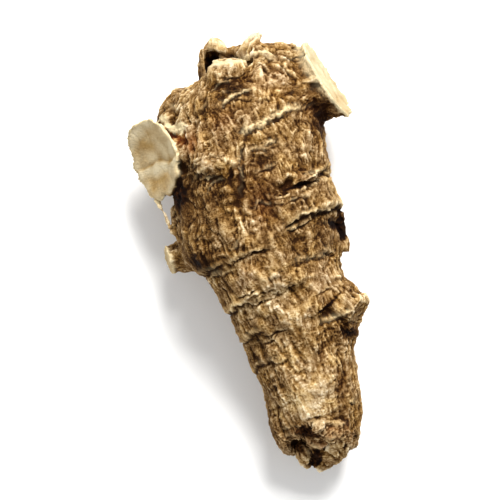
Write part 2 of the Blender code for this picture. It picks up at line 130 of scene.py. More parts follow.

# Raised pale crests on the upper side: places seen from above, half width, how far each is raised, how
# pale it is, and how deep the crack below it is and how strongly it is coloured near-black, as painted
# shade under the crest.
CRESTS = [Crest(*row) for row in [
    ([(-6.8, 32.2), (-5.8, 33.3), (-3.8, 33.9), (-1.4, 33.5), (-0.4, 32.8)], 0.35, 0.15, 0.6, 0),
    ([(-4.7, 24.4), (-2.8, 25.8), (-0.4, 27.1), (0.6, 27.4)], 0.22, 0.28, 1.6, 1.1),
    ([(-1.5, 19.5), (0.9, 20.3), (2.6, 21), (4.3, 22.4), (5.8, 23.2), (7.4, 24.2), (9.4, 24.5)],
     0.34, 0.36, 1.7, 0.9),
    ([(2.4, 17.1), (3.7, 18.1), (5.1, 18.5)], 0.19, 0.3, 0.8, 0.8),
    ([(-9.7, 14.2), (-8.3, 15.2), (-6.3, 15.8), (-4.2, 15), (-2.7, 13.6)], 0.2, 0.2, 0.3, 0.3),
    ([(-9.5, 13.3), (-8.1, 13.2), (-6.9, 12.6)], 0.18, 0.3, 0.8, 0.9),
    ([(-7.9, 12.1), (-6.5, 11.9), (-5.2, 12.4)], 0.18, 0.3, 0.8, 0.8),
    ([(-2.1, 14.2), (-1.1, 13.1), (-0.9, 11.7)], 0.2, 0.3, 0.7, 0.5),
    ([(6.3, 2.8), (9.5, 4.2), (12.3, 6.1), (15.2, 7.5)], 0.2, 0.2, 0.5, 0.8),
    ([(9.2, 11.9), (10.9, 12.8), (12.8, 13.8), (14.4, 14.4)], 0.16, 0.1, 0.8, 0.6),
    ([(5.2, 9.3), (7, 9.6)], 0.2, 0, 0, 1),
    ([(10.4, 10.8), (12.6, 11.6), (14.2, 12.2)], 0.22, 0.2, 0.7, 0),
    ([(-1.7, 15.8), (-0.9, 17.2), (-1.2, 19.7)], 0.22, 0.12, 0.2, 0.7),
    ([(-1.3, 9.1), (-0.4, 11.4), (-1.5, 14.1)], 0.24, 0.12, 0.2, 0.7),
    ([(0.4, 5.3), (-0.6, 6.8), (-0.2, 8.5)], 0.22, 0.12, 0.2, 0.6),
    ([(-2.7, 13.6), (-1.7, 14.8), (-1.1, 16.3)], 0.22, 0.2, 0.7, 0.4),
    ([(-0.7, 15.2), (0.2, 16.4), (1.4, 16.8), (2.7, 16.8), (3.1, 16)], 0.3, 0.12, 0.5, 0.3),
    ([(-7.3, -4.8), (-5.6, -4.5), (-4.5, -4.2)], 0.24, 0.25, 0.8, 0.7),
    ([(-3.3, -2.7), (-0.9, -1.7), (1.5, -0.6), (3.6, 0.1)], 0.24, 0.16, 0.3, 1.2),
    ([(9.8, -2.2), (12.6, -1.1), (15.6, 0.1)], 0.18, 0.15, 0.4, 0.6),
    ([(-1.5, -9.9), (0.6, -9.6), (2.1, -9), (4.3, -8.3), (5.8, -7.3), (7.5, -6.6), (8.4, -6)],
     0.24, 0.16, 0.35, 1.2),
    ([(2.2, -15), (3.9, -14.9), (5.4, -14), (7.2, -13.6)], 0.2, 0.12, 0.3, 0.8),
    ([(0.4, -16.5), (3.5, -15.8), (5.4, -15)], 0.18, 0.12, 0.2, 0.5),
    ([(14.2, -16.9), (14.8, -18.9), (16.1, -19.9), (16.3, -21.8)], 0.2, 0.12, 0.4, 0.4),
    ([(-0.6, 34.6), (1.6, 34.6), (3.4, 34.2), (5, 33.4)], 0.24, 0.12, 0.9, 0.5),
    ([(0.8, 33.4), (3.2, 33.2), (5.4, 32.4)], 0.2, 0.1, 0.6, 0.5),
    ([(1.8, 32.6), (3.4, 31.2), (4.6, 29.8)], 0.24, 0.1, 0.2, 0.7),
    ([(5, 32.6), (6.6, 31.2), (8, 29.8)], 0.24, 0.1, 0.2, 0.7),
    ([(13, -12.6), (14.6, -11.6), (16.2, -10.7), (17.8, -9.6), (19.4, -8.4)], 0.3, 0.15, 1.1, 0.5),
    ([(6.2, -32.9), (8, -32.7), (9.6, -33.2)], 0.22, 0.3, 1.2, 1),
    ([(17.8, -26.3), (19.1, -26.8)], 0.3, 0.3, 0.9, 0.8),
    ([(6.2, -31.4), (8, -31.2), (9.4, -30.9), (11, -30.4), (13, -30.4), (14.6, -30.7),
      (16.4, -30.6), (18, -30.6)], 0.18, 0.1, 0.55, 0.5),
    ([(8.8, -30.5), (10.2, -29.9), (12.2, -29.2), (14.2, -29.5), (16.2, -29.4), (17.8, -29.8)],
     0.16, 0, 0, 1.2),
    ([(11, -32.3), (12.2, -31.9), (13.2, -31)], 0.16, 0, 0.6, 0.9),
    ([(13.4, -33.3), (14.8, -32.9), (16.2, -32.4)], 0.2, 0, 1.3, 1.3),
    ([(10.4, -34.4), (11.6, -35), (13.3, -34.9)], 0.26, 0, 1.5, 0.6),
    ([(17.2, -30.8), (18, -33.4), (17.6, -36)], 0.24, 0, 0, 1.3),
]]  # fmt: skip

# Soft spots of the bark, a row each: the three numbers of its place and of its size, how much darker it
# is, partly by its own tone and partly as painted shade in hollows, under rims and flaps and on the left
# flank, how far it is raised, how much less wrinkled it is, and how much redder. What is left out is 0.
SPOTS = [Spot(row[:3], row[3:6], *row[6:]) for row in [
    # the middle of the root, with its folds and hollows, whose darker rows are partly the bark's own
    # tone and partly painted shade in the hollows and the pit
    (2, 15.6, 24.8, 1.4, 1.1, 2.5, 0, 0.8),
    (1.9, 14.4, 25.7, 2, 1.5, 2.5, 0.5, -0.2),
    (-4.6, 11.5, 24.8, 2.8, 1.3, 3, 0.5, -0.6),
    (-4, 9.1, 24.9, 4, 2.2, 4, 0.4, -0.2),
    (-6.5, 18.6, 24.3, 2.2, 1.8, 3, -0.35),
    (-4.6, 21.4, 24.2, 2.6, 2.6, 3, 0, 0, 0, 0.25),
    (-12.1, 19.3, 19.6, 1.4, 2, 4, -0.4),
    (-6.5, 2.6, 22.7, 2.4, 2, 4, -0.4),
    (1.5, 3.8, 24.7, 2.4, 1.6, 3, -0.35),
    (4.2, 18.6, 24.4, 1.6, 1, 3, 0.25),
    (-1.1, 15.8, 25.3, 1.3, 1.2, 3, 0.3),
    (1.5, -2.9, 24.1, 1.8, 1, 3, 0.35),
    (9.6, 10.8, 22.8, 1.8, 0.7, 3, 0.6, -0.2),
    (-7.9, 11.4, 23.1, 2.4, 1, 3, 0.1, -0.5),
    (-6.1, 14.8, 24, 3.4, 1.6, 3, -0.2, 0.9, 0.3, 0.1),
    (-2.9, 12.7, 25.4, 0.8, 1.5, 3, 0.7, -0.5),
    (-1.1, 10.8, 25.4, 1, 3.6, 3, 0.5, -0.6, 0, 0.15),
    (1.4, 9.8, 25.3, 3.2, 4.6, 4, 0.3, 0, 0, 0.15),
    (2.7, 6.8, 24.7, 1.8, 2.6, 3, 0.3, -0.4, 0, 0.3),
    (6.7, 10.4, 23.5, 1.6, 0.9, 3, 0.1, -0.2, 0, 0.1),
    # the left flank, and the bark under the left cut; the darker rows here are painted shade
    (-10.2, 5.9, 19.8, 4.2, 5, 8, 0.5, -0.1, 0.4),
    (-6, 8, 23.6, 3.6, 1.8, 4, 0.35),
    (-3, 5.2, 24.2, 1.8, 1.6, 4, 0.45, -0.1),
    (-1.1, -0.2, 24.8, 1.6, 1.2, 3, 0.75, -0.1),
    (-6.8, -3.4, 19, 2.6, 1.8, 4, 0.55),
    (-9.4, -2.5, 17.4, 1.8, 1.8, 4, 0.5),
    (-1.1, -6, 21.6, 1.8, 2, 3, -0.5),
    (0.2, 18.4, 25.8, 2.2, 1.3, 3, 0.5, -0.1),
    (0.2, 21.4, 24.8, 2.4, 1.2, 3, -0.3),
    (-10.5, 14.4, 19.6, 1.6, 0.7, 3, 0.55, -0.2),
    (-12.2, 10, 16, 2.2, 2.8, 7, 1.2, -0.3),
    (-8.1, -1.3, 21, 2.6, 2.4, 6, 0.55),
    (-14.6, 21.7, 18, 3, 1.5, 5, -0.4),
    (-9.9, 18, 22.1, 1.5, 1.9, 2.5, 0, 0, 0, 0.7),
    (-7.5, 23, 23.7, 1, 3.4, 3, 0.4, -0.4),
    # the crown, with its old stem base and the knob before it
    (-4.2, 24.1, 24, 3.2, 3.8, 4, 0.45),
    (-4.8, 31.6, 21.8, 2, 1.5, 3, -0.35, 0.1, 0.1),
    # painted shade at the right of the knob's front
    (-1.6, 30.4, 22.2, 1.3, 1.5, 3, 0.35, -0.5),
    (-3.8, 33.6, 20.6, 3.8, 1.6, 3, -0.35, 0.2, 0.25),
    (2.4, 33.4, 21, 2.6, 1.4, 4, -0.7, 0, 0.2),
    (2.2, 30, 22.1, 1.6, 1.2, 3, -0.35),
    (3.2, 27.2, 22.7, 2.4, 1.6, 3, -0.5),
    # painted shade on the front of the knob, under its rim
    (-2.4, 27.2, 23.7, 2.4, 1.2, 3, 0.8, -0.2),
    (-3.8, 28.7, 22.7, 2.8, 1, 2.6, 0.55, -0.2),
    (-0.4, 29.4, 22.5, 1.2, 1.6, 3, 0.25, -0.3),
    (1.5, 24, 24.7, 1.8, 1.6, 3, -0.35),
    (8.4, 24.8, 21.8, 2.2, 0.9, 3, 0.35),
    (8, 26.6, 21.4, 2.4, 1.8, 3, 0.55, -0.2),
    # painted shade in the hollow of the broken stem
    (-7.3, 33.2, 11.7, 1.4, 3.6, 3, 0.7, -0.2, 0, 0.1),
    (-4.8, 36.9, 14.4, 2.2, 1.4, 2.5, -0.5, 0, 0.3),
    (0.6, 37, 16.9, 2.4, 2, 3, -0.7, 0, 0.4),
    (4.5, 29.7, 22, 5, 3.6, 5, -0.12, 0, 0, 0.15),
    (10.4, 32.1, 20.7, 1.8, 2, 4, -0.5, 0, 0.6),
    # the right side, from the neck of its cut down to the knob; its darker rows are partly the bark's
    # own tone and partly painted shade under the neck, by the brown scale and its slot, under the flap
    # and the knob's rim, and in the slot over the knob
    (12.4, 25.2, 19.6, 2.6, 1.4, 4, 0.3, -0.3, 0, 0.2),
    (14.6, 23.4, 15, 3, 1.8, 5, 0.7, 0.1, 0, 0.15),
    (11.6, 22.2, 20.1, 2, 3.4, 6, 0.6, -0.1, 0, 0.1),
    (13, 19, 18.6, 1.2, 3.6, 5, 0.45),
    (12.4, 14.8, 20.7, 1.6, 1, 4, 0.4),
    (9.8, 16.4, 23, 1.6, 1.1, 3, -0.4),
    (8.3, 17.2, 23.2, 3.6, 3.4, 4, -0.12, 0.1),
    (9.5, 11.9, 23.4, 1.6, 0.55, 3, 0.15, 0, 0.7, 0.3),
    (9, 13.2, 23.6, 1.7, 0.8, 3, 0.5, -0.3, 0, 0.1),
    (15.4, 4.9, 16.5, 2.2, 1.2, 5, 1.1, -0.6, 0, 0.1),
    (8.1, 1.3, 22.7, 5, 4.6, 4.5, 0.35),
    (15.3, 0.3, 16.1, 2.6, 3.4, 6, 0.35),
    (14.1, -3.9, 18.6, 3, 2, 4.5, -0.4, 0.2, 0.2, 0.1),
    (13.4, -10.6, 19.4, 1.3, 0.8, 3, 0.5, -0.4, 0, 0.1),
    (12.6, -6.8, 20, 2, 1.8, 3, -0.55, 0.1, 0, 0.1),
    (17.8, -13.6, 14.5, 1.9, 1.6, 5, 0.9, -0.3, 0, 0.1),
    (14.8, -14.6, 18.2, 3.2, 2.2, 6, 0.55, -0.1),
    # the lower trunk, its sides darkened partly as painted shade
    (-0.2, -4.9, 23.1, 2.2, 2.2, 3.5, -0.5, 0.15, 0, 0.25),
    (3.4, -4.7, 23.7, 1, 1.2, 3, -0.4, 0.1),
    (4.6, -10.2, 21.6, 3.2, 1.8, 3.5, -0.8, 0.3),
    (5.6, -7.9, 21.6, 2.6, 1, 3, -0.35),
    (12.4, -5.3, 20.2, 1.8, 1.2, 3, -0.3),
    (4.3, -13.5, 20, 2, 1.2, 3, -0.3),
    (5.6, -16.1, 19, 3.6, 1.4, 4, -0.3),
    (12.5, -18.9, 18.2, 1.8, 1.6, 3, -0.35),
    (18, -3.6, 16.4, 1.4, 2.4, 4, 0.5),
    (17.6, -8, 17.4, 1.8, 1.2, 3, -0.45),
    (12.4, 8.2, 20.6, 1.6, 1.2, 3, -0.3),
    (8.3, -12.7, 21.1, 1.9, 1.3, 3, -0.5, 0.3),
    (8.2, -16.3, 19.2, 2.4, 1.6, 3.5, -0.35),
    (12.9, -17.9, 18.1, 0.7, 1.4, 3, 0.3, -0.35, 0, 0.1),
    (11.1, -25.6, 17, 2.6, 5.2, 4, -0.9, 0.5, 0.6),
    (7.1, -26.4, 15.7, 1.6, 3, 4, -0.6),
    (12.6, -24.6, 17, 1.6, 3, 4, -0.35),
    (16.3, -23, 16, 1.3, 2.6, 3, 0.45, -0.4, 0, 0.15),
    (17, -28, 14.5, 1.6, 2.8, 5, 0.4, -0.1),
    (1.5, -18.9, 14.1, 2.4, 6, 6, 0.35),
    (4.6, -31.4, 10, 1.5, 2.2, 4, 0.4),
    # the torn end, with painted shade in the recess under its lip and in its holes
    (10, -31.7, 13.5, 1.3, 1, 4, 1.1, -0.5),
    (8, -34, 11, 1.6, 0.9, 4, 0.6),
    (15.8, -28.8, 15, 2, 0.9, 3, 0.25, -0.1),
    (5.2, -32.6, 9, 1.6, 1.6, 4, 0.55),
    (8.8, -34.8, 9, 1.3, 1, 4, 0.6, -0.3),
    (12.1, -37, 8, 0.9, 1.4, 5, 1, -0.3),
    (10.2, -37.5, 8, 0.8, 1.5, 4, -0.5, 0.2, 0, 0.1),
    (15.4, -35.8, 9.5, 2.2, 2.2, 5, -0.25, 0.2),
]]

# Soft moves of whole forms, made last.
SHIFTS = [
    Shift((-3.7, 33.6, 18.8), (4.2, 3.2, 4), (1.5, -1.9, -0.3)),
    Shift((19, -9, 15.5), (5, 4.5, 7), (-0.3, -1.7, 0)),
    Shift((-9, -6, 10), (4.5, 4, 9), (1.5, 0.4, 0)),
    Shift((-4.6, -12, 9), (3.5, 3.5, 9), (1.2, 0.3, 0)),
    Shift((-13.5, 28, 13), (3, 2.6, 6), (-0.5, 0.6, 0)),
    Shift((16.8, 2.2, 13), (2.2, 3.6, 4), (0.7, -1.7, 0)),
    Shift((15, 23.4, 13), (2.4, 1.8, 6), (0.3, -0.7, 0)),
    Shift((21.5, -8.6, 14.5), (3, 3.2, 6), (-0.9, -1, 0)),
    Shift((18.4, -15, 13), (2.2, 2.2, 6), (1, -0.3, 0)),
    Shift((15, -38, 8), (3, 2.2, 5), (0.4, 0.7, 0)),
]

# Places where the wrinkles run another way than along the trunk or a side root.
GRAINS = [
    Grain((6.5, 31, 20.5), (4.4, 3.2, 6), (0.74, -0.66, 0), 1),
    Grain((-6, 13.6, 23), (4.2, 2.4, 5), (0.86, -0.4, 0), 0.5),
    Grain((15, -3.5, 17.5), (3.2, 2.8, 5), (0.75, -0.65, 0), 0.4),
    Grain((-11, 6, 18), (3.4, 4.5, 6), (0.6, -0.6, 0), 0),
]

# Shapes too fine for the solid: thin flaps, lips and splinters of bark, each a line of places with its
# half width and half thickness there, the way its broad side faces, and how much darker, less wrinkled
# and redder it is; the darkening is partly the bark's own tone and partly painted shade, in the hollow
# of the broken stem and beside the hanging scale.
BLADES = {
    "swollen end of the top side root": Blade((0, 0, 1), [
        (-3.4, 27, 18.6, 4, 3.6), (-3.6, 29.6, 19, 4.2, 3.6), (-3.7, 31.6, 18.8, 3.9, 3.5),
        (-3.8, 33, 18.4, 3.3, 3), (-3.8, 34, 18, 2.3, 2.4),
    ]),
    "ragged lip over the torn end": Blade((0, -0.2, 1), [
        (8.8, -30.9, 15, 0.4, 0.18), (10, -30.5, 15.6, 0.55, 0.18), (12, -29.9, 16, 0.6, 0.18),
        (14, -30.2, 15.7, 0.55, 0.18), (16, -30.1, 14.8, 0.55, 0.18), (17.6, -30.4, 13.8, 0.35, 0.18),
    ], 0.25, 0.35),
    "pale flap that hangs from the lip": Blade((-0.3, 0.1, 1), [
        (13.4, -30.2, 16.1, 0.4, 0.2), (12.6, -30.8, 16.6, 0.95, 0.2), (11.6, -31.5, 16.5, 0.95, 0.18),
        (10.9, -32.2, 15.9, 0.4, 0.18),
    ], 0.1, 0.75),
    "small flap of the lip": Blade((0.1, -0.2, 1), [
        (15.2, -30.3, 15.4, 0.35, 0.18), (16.1, -30.7, 15.2, 0.55, 0.18), (17, -30.6, 14.6, 0.3, 0.18),
    ], -0.15, 0.6),
    "brown scale below the lip": Blade((0.1, -0.3, 1), [
        (17.4, -31, 14, 0.9, 0.3), (16.2, -31.8, 14.8, 1.3, 0.3), (15, -32.4, 15.3, 1.2, 0.26),
        (14.1, -32.9, 15.4, 0.6, 0.2),
    ], 0.45, 0.8, 0.45),
    "tongue": Blade((0.1, -0.1, 1), [
        (14, -31.8, 13, 1.2, 0.4), (13.3, -32.8, 13.4, 1.5, 0.3), (12.6, -33.7, 13.4, 1.6, 0.26),
        (12, -34.4, 13.2, 1.5, 0.22), (11.8, -34.9, 13, 1.4, 0.2),
    ], 0.1, 0.35, 0.35),
    "bark that runs on to the right": Blade((0.2, -0.35, 0.9), [
        (17, -31.6, 13.2, 1.5, 0.8), (16.4, -34.2, 12.2, 2.1, 0.8), (15.4, -36.4, 10.3, 2.2, 0.8),
        (14.2, -38, 8.2, 1.9, 0.6), (12.4, -38.9, 6.6, 1.2, 0.5),
    ], -0.05, 0),
    "bark that runs on to the bottom": Blade((-0.2, -0.3, 0.9), [
        (9.2, -34.4, 9.8, 0.8, 0.6), (9.8, -36.4, 8.8, 1.1, 0.6), (10.4, -38, 7.2, 1, 0.55),
        (11.2, -38.9, 6.4, 0.6, 0.4),
    ], 0.45),
    "thin flap of the right edge": Blade((0.9, 0, 0.5), [
        (19.6, -26, 10.8, 0.6, 0.3), (20.2, -28.2, 10.4, 0.9, 0.32), (20.2, -30.6, 10, 0.5, 0.25),
    ]),
    "brown scale over the slot": Blade((0.3, 0.1, 1), [
        (7.4, 10.6, 24, 0.2, 0.2), (8.6, 11.4, 24.1, 0.5, 0.3), (9.6, 11.9, 23.8, 0.65, 0.34),
        (10.8, 12.4, 22.9, 0.4, 0.28), (12, 12.9, 21.4, 0.2, 0.2),
    ]),
    # its darkening is painted shade beside the hanging scale
    "bark beside the hanging scale": Blade((0.5, 0, 0.86), [
        (15.2, 8.2, 15.2, 0.8, 0.6), (16.2, 6.9, 14.4, 1.3, 0.7), (16.1, 5.4, 13.8, 1.4, 0.7),
        (16.2, 3.8, 13.2, 1.3, 0.7),
    ], 0.7),
    "splinter of the crown": Blade((0.2, -0.4, 0.9), [
        (-2, 35, 15.6, 1.5, 0.5), (-0.4, 36.4, 16.8, 1.5, 0.36), (0.8, 37.7, 17.2, 1, 0.26),
        (1.7, 38.8, 17, 0.4, 0.2),
    ], -0.2, 0.65),
    "second splinter of the crown": Blade((0.5, -0.2, 0.9), [
        (-0.4, 35.4, 17.6, 0.9, 0.4), (0.9, 36.8, 18.2, 0.7, 0.34), (2.2, 37.6, 18, 0.4, 0.24),
    ], 0.1, 0.65),
    "pale strand of the crown": Blade((0, -0.3, 1), [
        (-1.4, 34.9, 17, 0.4, 0.3), (0.4, 34.9, 20, 0.5, 0.26), (2.2, 34.5, 20.9, 0.4, 0.24),
        (4.2, 33.7, 21.2, 0.3, 0.2),
    ], -0.1, 0.5),
    # the darkening of the stem's wall and floor and of the bark beside them is painted shade in its
    # hollow
    "wall of the broken stem": Blade((-0.9, 0.1, 0.5), [
        (-8.2, 30.6, 13.4, 1.3, 0.35), (-8.5, 33.4, 14, 1.4, 0.32), (-8.3, 36.4, 13.8, 1, 0.3),
    ], 0.2),
    "floor of the broken stem": Blade((0, 0, 1), [
        (-7.6, 30.4, 11, 0.9, 0.6), (-7.4, 33.2, 11.2, 1.2, 0.6), (-6.8, 35.2, 11.2, 1.5, 0.6),
        (-5.2, 35.6, 11.6, 1.5, 0.6),
    ], 0.4),
    "bark between the stem and the splinter": Blade((0, -0.5, 1), [
        (-4.6, 34.8, 12.8, 1.5, 1), (-3, 35.5, 13.6, 1.5, 1.1), (-1.4, 36, 14.4, 1.4, 1.1),
        (0.2, 36, 14.8, 1, 0.9),
    ], 0.4),
    "lit top of the broken stem": Blade((0, 0.2, 1), [
        (-7.6, 36.6, 13.6, 0.8, 0.6), (-6.2, 37.5, 14.4, 1.2, 1), (-4.9, 36.7, 14.4, 1.1, 0.9),
        (-4.2, 36, 14.6, 0.5, 0.4),
    ], -0.1, 0.3),
    "strand of root under the left cut": Blade((0.3, -0.2, 1), [
        (-16.4, 9.6, 12, 0.34, 0.3), (-15.4, 7.4, 12.2, 0.26, 0.24), (-14.4, 5.4, 12, 0.3, 0.25),
        (-13.4, 3, 12.6, 0.26, 0.24),
    ]),
}  # fmt: skip
BLADE_SIDES = 12
BLADE_STEPS = 4

# Slots and holes too fine for the solid, given in the same way as the blades. The bark in and around
# each is darkened, as painted shade.
SLOTS = {
    "slot under the brown scale": Blade((0.0, 0.0, 1.0), [
        (6.0, 9.7, 24.0, 0.14, 0.4), (7.6, 10.2, 24.0, 0.26, 0.8), (9.2, 10.7, 23.2, 0.42, 1.2),
        (10.8, 11.2, 22.0, 0.32, 0.9), (12.4, 11.9, 20.2, 0.14, 0.4),
    ], 1.3),
    "slot over the right knob": Blade((0.0, 0.0, 1.0), [
        (12.2, -11.0, 20.2, 0.2, 0.5), (13.4, -10.2, 19.6, 0.34, 1.1), (14.6, -8.8, 19.0, 0.28, 0.9),
        (15.8, -7.2, 18.8, 0.16, 0.6), (17.0, -5.8, 18.4, 0.14, 0.4),
    ], 1.3),
    "recess under the lip": Blade((0.0, 0.0, 1.0), [
        (8.6, -32.0, 14.0, 0.4, 1.6), (10.0, -31.8, 14.6, 0.85, 3.4), (11.2, -32.4, 14.8, 0.55, 3.2),
        (12.6, -32.6, 14.8, 0.25, 1.4),
    ], 1.1),
    "hole below the tongue": Blade((0.0, 0.0, 1.0), [
        (12.3, -35.4, 8.8, 0.7, 2.4), (12.3, -36.8, 8.0, 0.95, 4.0), (12.0, -38.2, 6.8, 0.6, 3.2),
    ], 1.3),
    "hole at the left of the tongue": Blade((0.0, 0.0, 1.0), [
        (7.4, -34.4, 9.2, 0.25, 1.4), (8.4, -34.8, 8.8, 0.45, 2.2), (9.6, -35.6, 8.4, 0.35, 1.8),
    ], 0.8),
    "hollow of the broken stem": Blade((0.0, 0.0, 1.0), [
        (-7.2, 30.6, 15.5, 0.7, 2.6), (-6.8, 33.0, 15.4, 1.3, 3.6), (-6.2, 34.9, 15.4, 1.2, 3.0),
        (-5.0, 35.4, 15.8, 1.1, 2.6), (-3.6, 35.2, 16.2, 0.8, 2.0),
    ], 0.55),
}  # fmt: skip

TUBES = (*BLADES.values(), *SLOTS.values())

# The torn thin end: a point on it, and the way it faces.
TEAR_PLACE = np.array([12.6, -35.8, 8.4])
TEAR_FACES = (0.03, -0.86, 0.51)

# The middle of the solid's round pit, which is drawn here as a softer hollow.
PIT = np.array([2.0, 15.6, 25.0])

JOIN_VOXEL = 0.22
FINE_VOXEL = 0.17
MOST_TRIANGLES = 196000
HELD = 0.9
RELAX_PASSES = 26
SOFT_PASSES = 110
RIM_PASSES = 14
AXIS_PASSES = 12
OUTWARD_PASSES = 3
FRAY, FRAY_SIZE = 0.20, 1.2
SEED = 11
NOISE_TABLE = 256
NOISE_GAIN = 1.6
PLACE_STEP = 17.3
FAR_OFF = 9.0
LEAST_LENGTH = 0.2

# How far each kind of wrinkle is raised. A ridge of this height is level with the bark.
NARROW, NET, CROSS_NET, LONG_NET, STRANDS = 0.08, 0.14, 0.05, 0.04, 0.13
FOLD, BROAD, CREVICE, SKEW_FOLDS = 0.13, 0.3, 0.17, 0.26
LIP_LIFT, CRACK_DEPTH, FIBRE, RIM_LIFT = 0.25, 0.5, 0.14, 0.2
LEVEL_RIDGE = 0.4
MOST_CALM = 0.8
RIDGE_WIDTH = 1.1

# A crest is seen this far from its line, its two sides and the place of the crack below it are this many
# half widths wide, and each end tapers over this length.
CREST_REACH = 1.5
CREST_ABOVE, CREST_BELOW, CRACK_BELOW = 2.2, 0.8, 1.5
CREST_TAPER = 1.2

# The smoothing fades over these spans: at the floor, the torn end, the knob, the pit and the thin half.
FLOOR_FADE, TORN_FADE, KNOB_FADE = (0.12, 0.02), (-27.5, -29.5), (8.0, 6.0)
PIT_FADE, THIN_FADE = (4.2, 2.6), (4.0, -1.0)
FACE_DEPTH, TUBE_MARGIN = 0.5, 0.3

# A cut face ends at a height and a tilt, its rim at a strength, and its neck at shares of its radius.
FACE_FADE, TILT_FADE, RIM_FADE, NECK_FADE = (0.5, 0.3), (0.5, 0.75), (0.3, 0.7), (1.5, 1.25)
TEAR_BELOW, TEAR_ABOVE, TEAR_TILT = (-1.6, -0.6), (1.4, 0.7), (0.1, 0.5)

# What is added up at each point of the bark.
SKIN_VALUES = ("cut", "tone", "stain", "swell", "collar", "face_relief", "dark", "red", "calm", "frayed")

# What the material reads of the relief: passes of smoothing to the level, and the least and the most.
# It paints the bark darker where these are low and paler where they are high, partly as its own colour
# and partly as painted shade in the hollows and painted highlight on the crests.
CREST_LEVELS = {
    "crest_fine": (6, -0.16, 0.12),
    "crest_mid": (26, -0.4, 0.3),
    "crest_broad": (80, -0.9, 0.6),
}


def unit(v):
    v = np.asarray(v, float)
    return v / np.linalg.norm(v)


def near_unit(vectors):
    """The vectors at length 1, but for very short ones, which stay short."""
    return vectors / np.maximum(np.linalg.norm(vectors, axis=1), LEAST_LENGTH)[:, None]


def smoothstep(low, high, x):
    """0 at low, 1 at high, and a smooth change between them. low may be the larger."""
    t = np.clip((x - low) / (high - low), 0.0, 1.0)
    return t * t * (3 - 2 * t)


def bump(x, centre, width):
    """A soft peak of height 1."""
    return np.exp(-(((x - centre) / width) ** 2))


def at_least(least, share):
    """The share, from 0 to 1, drawn together so that it starts at the least."""
    return least + (1 - least) * share


class GradientNoise:
    """Smooth noise between about -1 and 1 at many points at once, the same each run."""

    def __init__(self, seed):
        lot = np.random.RandomState(seed)
        self.order = np.tile(lot.permutation(NOISE_TABLE), 2)
        directions = lot.normal(size=(NOISE_TABLE, 3))
        self.slopes = directions / np.linalg.norm(directions, axis=1)[:, None]

    def __call__(self, points):
        cell = np.floor(points).astype(np.int64)
        part = points - cell
        cell &= NOISE_TABLE - 1
        fade = part**3 * (part * (part * 6 - 15) + 10)
        total = np.zeros(len(points))
        weights = [(1 - fade[:, i], fade[:, i]) for i in range(3)]
        for dx in (0, 1):
            x_hash = self.order[cell[:, 0] + dx]
            for dy in (0, 1):
                y_hash = self.order[(x_hash + cell[:, 1] + dy) & (NOISE_TABLE - 1)]
                for dz in (0, 1):
                    z_hash = self.order[(y_hash + cell[:, 2] + dz) & (NOISE_TABLE - 1)]
                    offset = part - np.array([dx, dy, dz])
                    slope = np.einsum("ij,ij->i", self.slopes[z_hash], offset)
                    total += weights[0][dx] * weights[1][dy] * weights[2][dz] * slope
        return total * NOISE_GAIN


field = GradientNoise(SEED)


def noise_at(points, size, place):
    """Noise whose cells are this size. Another place gives noise that has nothing to do with it."""
    return field(points / size + PLACE_STEP * place)


def drift(points, size, place):
    """Three noises at once, to push points about."""
    return np.stack([noise_at(points, size, place + k) for k in range(3)], axis=1)


def swayed(points, share, size, place):
    return points + share * drift(points, size, place)


TRUNK_ALONG = np.array([-math.sin(TRUNK_LEAN), math.cos(TRUNK_LEAN), 0.0])
TRUNK_ACROSS = np.array([math.cos(TRUNK_LEAN), math.sin(TRUNK_LEAN), 0.0])


def near_spot(points, spot):
    """1 at a spot's middle, and a soft fade to 0 around it."""
    return np.exp(-(((points - np.array(spot.place)) / np.array(spot.size)) ** 2).sum(axis=1))


def wrinkle_axis(points, normals):
    """The way that the wrinkles run at each point: along the trunk, and turning into each side root."""
    wobble = AXIS_WOBBLE * at_least(0.4, smoothstep(*AXIS_WOBBLE_SPAN, points[:, 1]))
    axis = np.tile(TRUNK_ALONG, (len(points), 1))
    axis += wobble[:, None] * drift(points, AXIS_WOBBLE_SIZE, 90)
    for limb in LIMBS:
        fork, tip = np.array(limb.fork), np.array(limb.tip)
        along = unit(tip - fork)
        away = points - fork
        run = away @ along
        off = np.linalg.norm(away - np.outer(run, along), axis=1)
        outer, inner = (limb.radius * share for share in LIMB_FADE)
        weight = smoothstep(*LIMB_START, run) * smoothstep(outer, inner, off)
        if along @ TRUNK_ALONG < 0:
            along = -along
        axis += weight[:, None] * (along - axis)
    for grain in GRAINS:
        axis += near_spot(points, grain)[:, None] * (unit(grain.along) - axis)
    normals = near_unit(normals)
    axis -= (axis * normals).sum(axis=1)[:, None] * normals
    return axis / np.maximum(np.linalg.norm(axis, axis=1), 1e-6)[:, None]


def combed(points, axis, size, reach, place):
    """Noise drawn out along the wrinkles for this reach to each side. Its spread is 1."""
    steps = max(3, int(round(2 * reach / size)) + 1)
    total = np.zeros(len(points))
    for step in np.linspace(-reach, reach, steps):
        total += math.cos(0.4 * math.pi * step / reach) * noise_at(points + step * axis, size, place)
    return total / total.std()


def trunk_place(points):
    """How far along the trunk each point is, and its angle round it in degrees from its upper side."""
    along = points @ TRUNK_ALONG
    line = np.array(TRUNK_LINE)
    stations = line @ TRUNK_ALONG
    centre = np.stack([np.interp(along, stations, line[:, i]) for i in range(3)], axis=1)
    across = (points - centre) @ TRUNK_ACROSS
    angle = np.degrees(np.arctan2(across, points[:, 2] - centre[:, 2]))
    return along, angle


def window(angle, start, end):
    """1 between the two angles, with a soft fade at each."""
    middle, half = (start + end) / 2, (end - start) / 2
    off = np.abs((angle - middle + 180) % 360 - 180)
    return np.clip((half - off) / RING_FADE + 0.5, 0.0, 1.0)


def vectors_of(items, key):
    values = np.zeros(len(items) * 3)
    items.foreach_get(key, values)
    return values.reshape(-1, 3)


def normals_of(mesh):
    return vectors_of(mesh.vertex_normals, "vector")


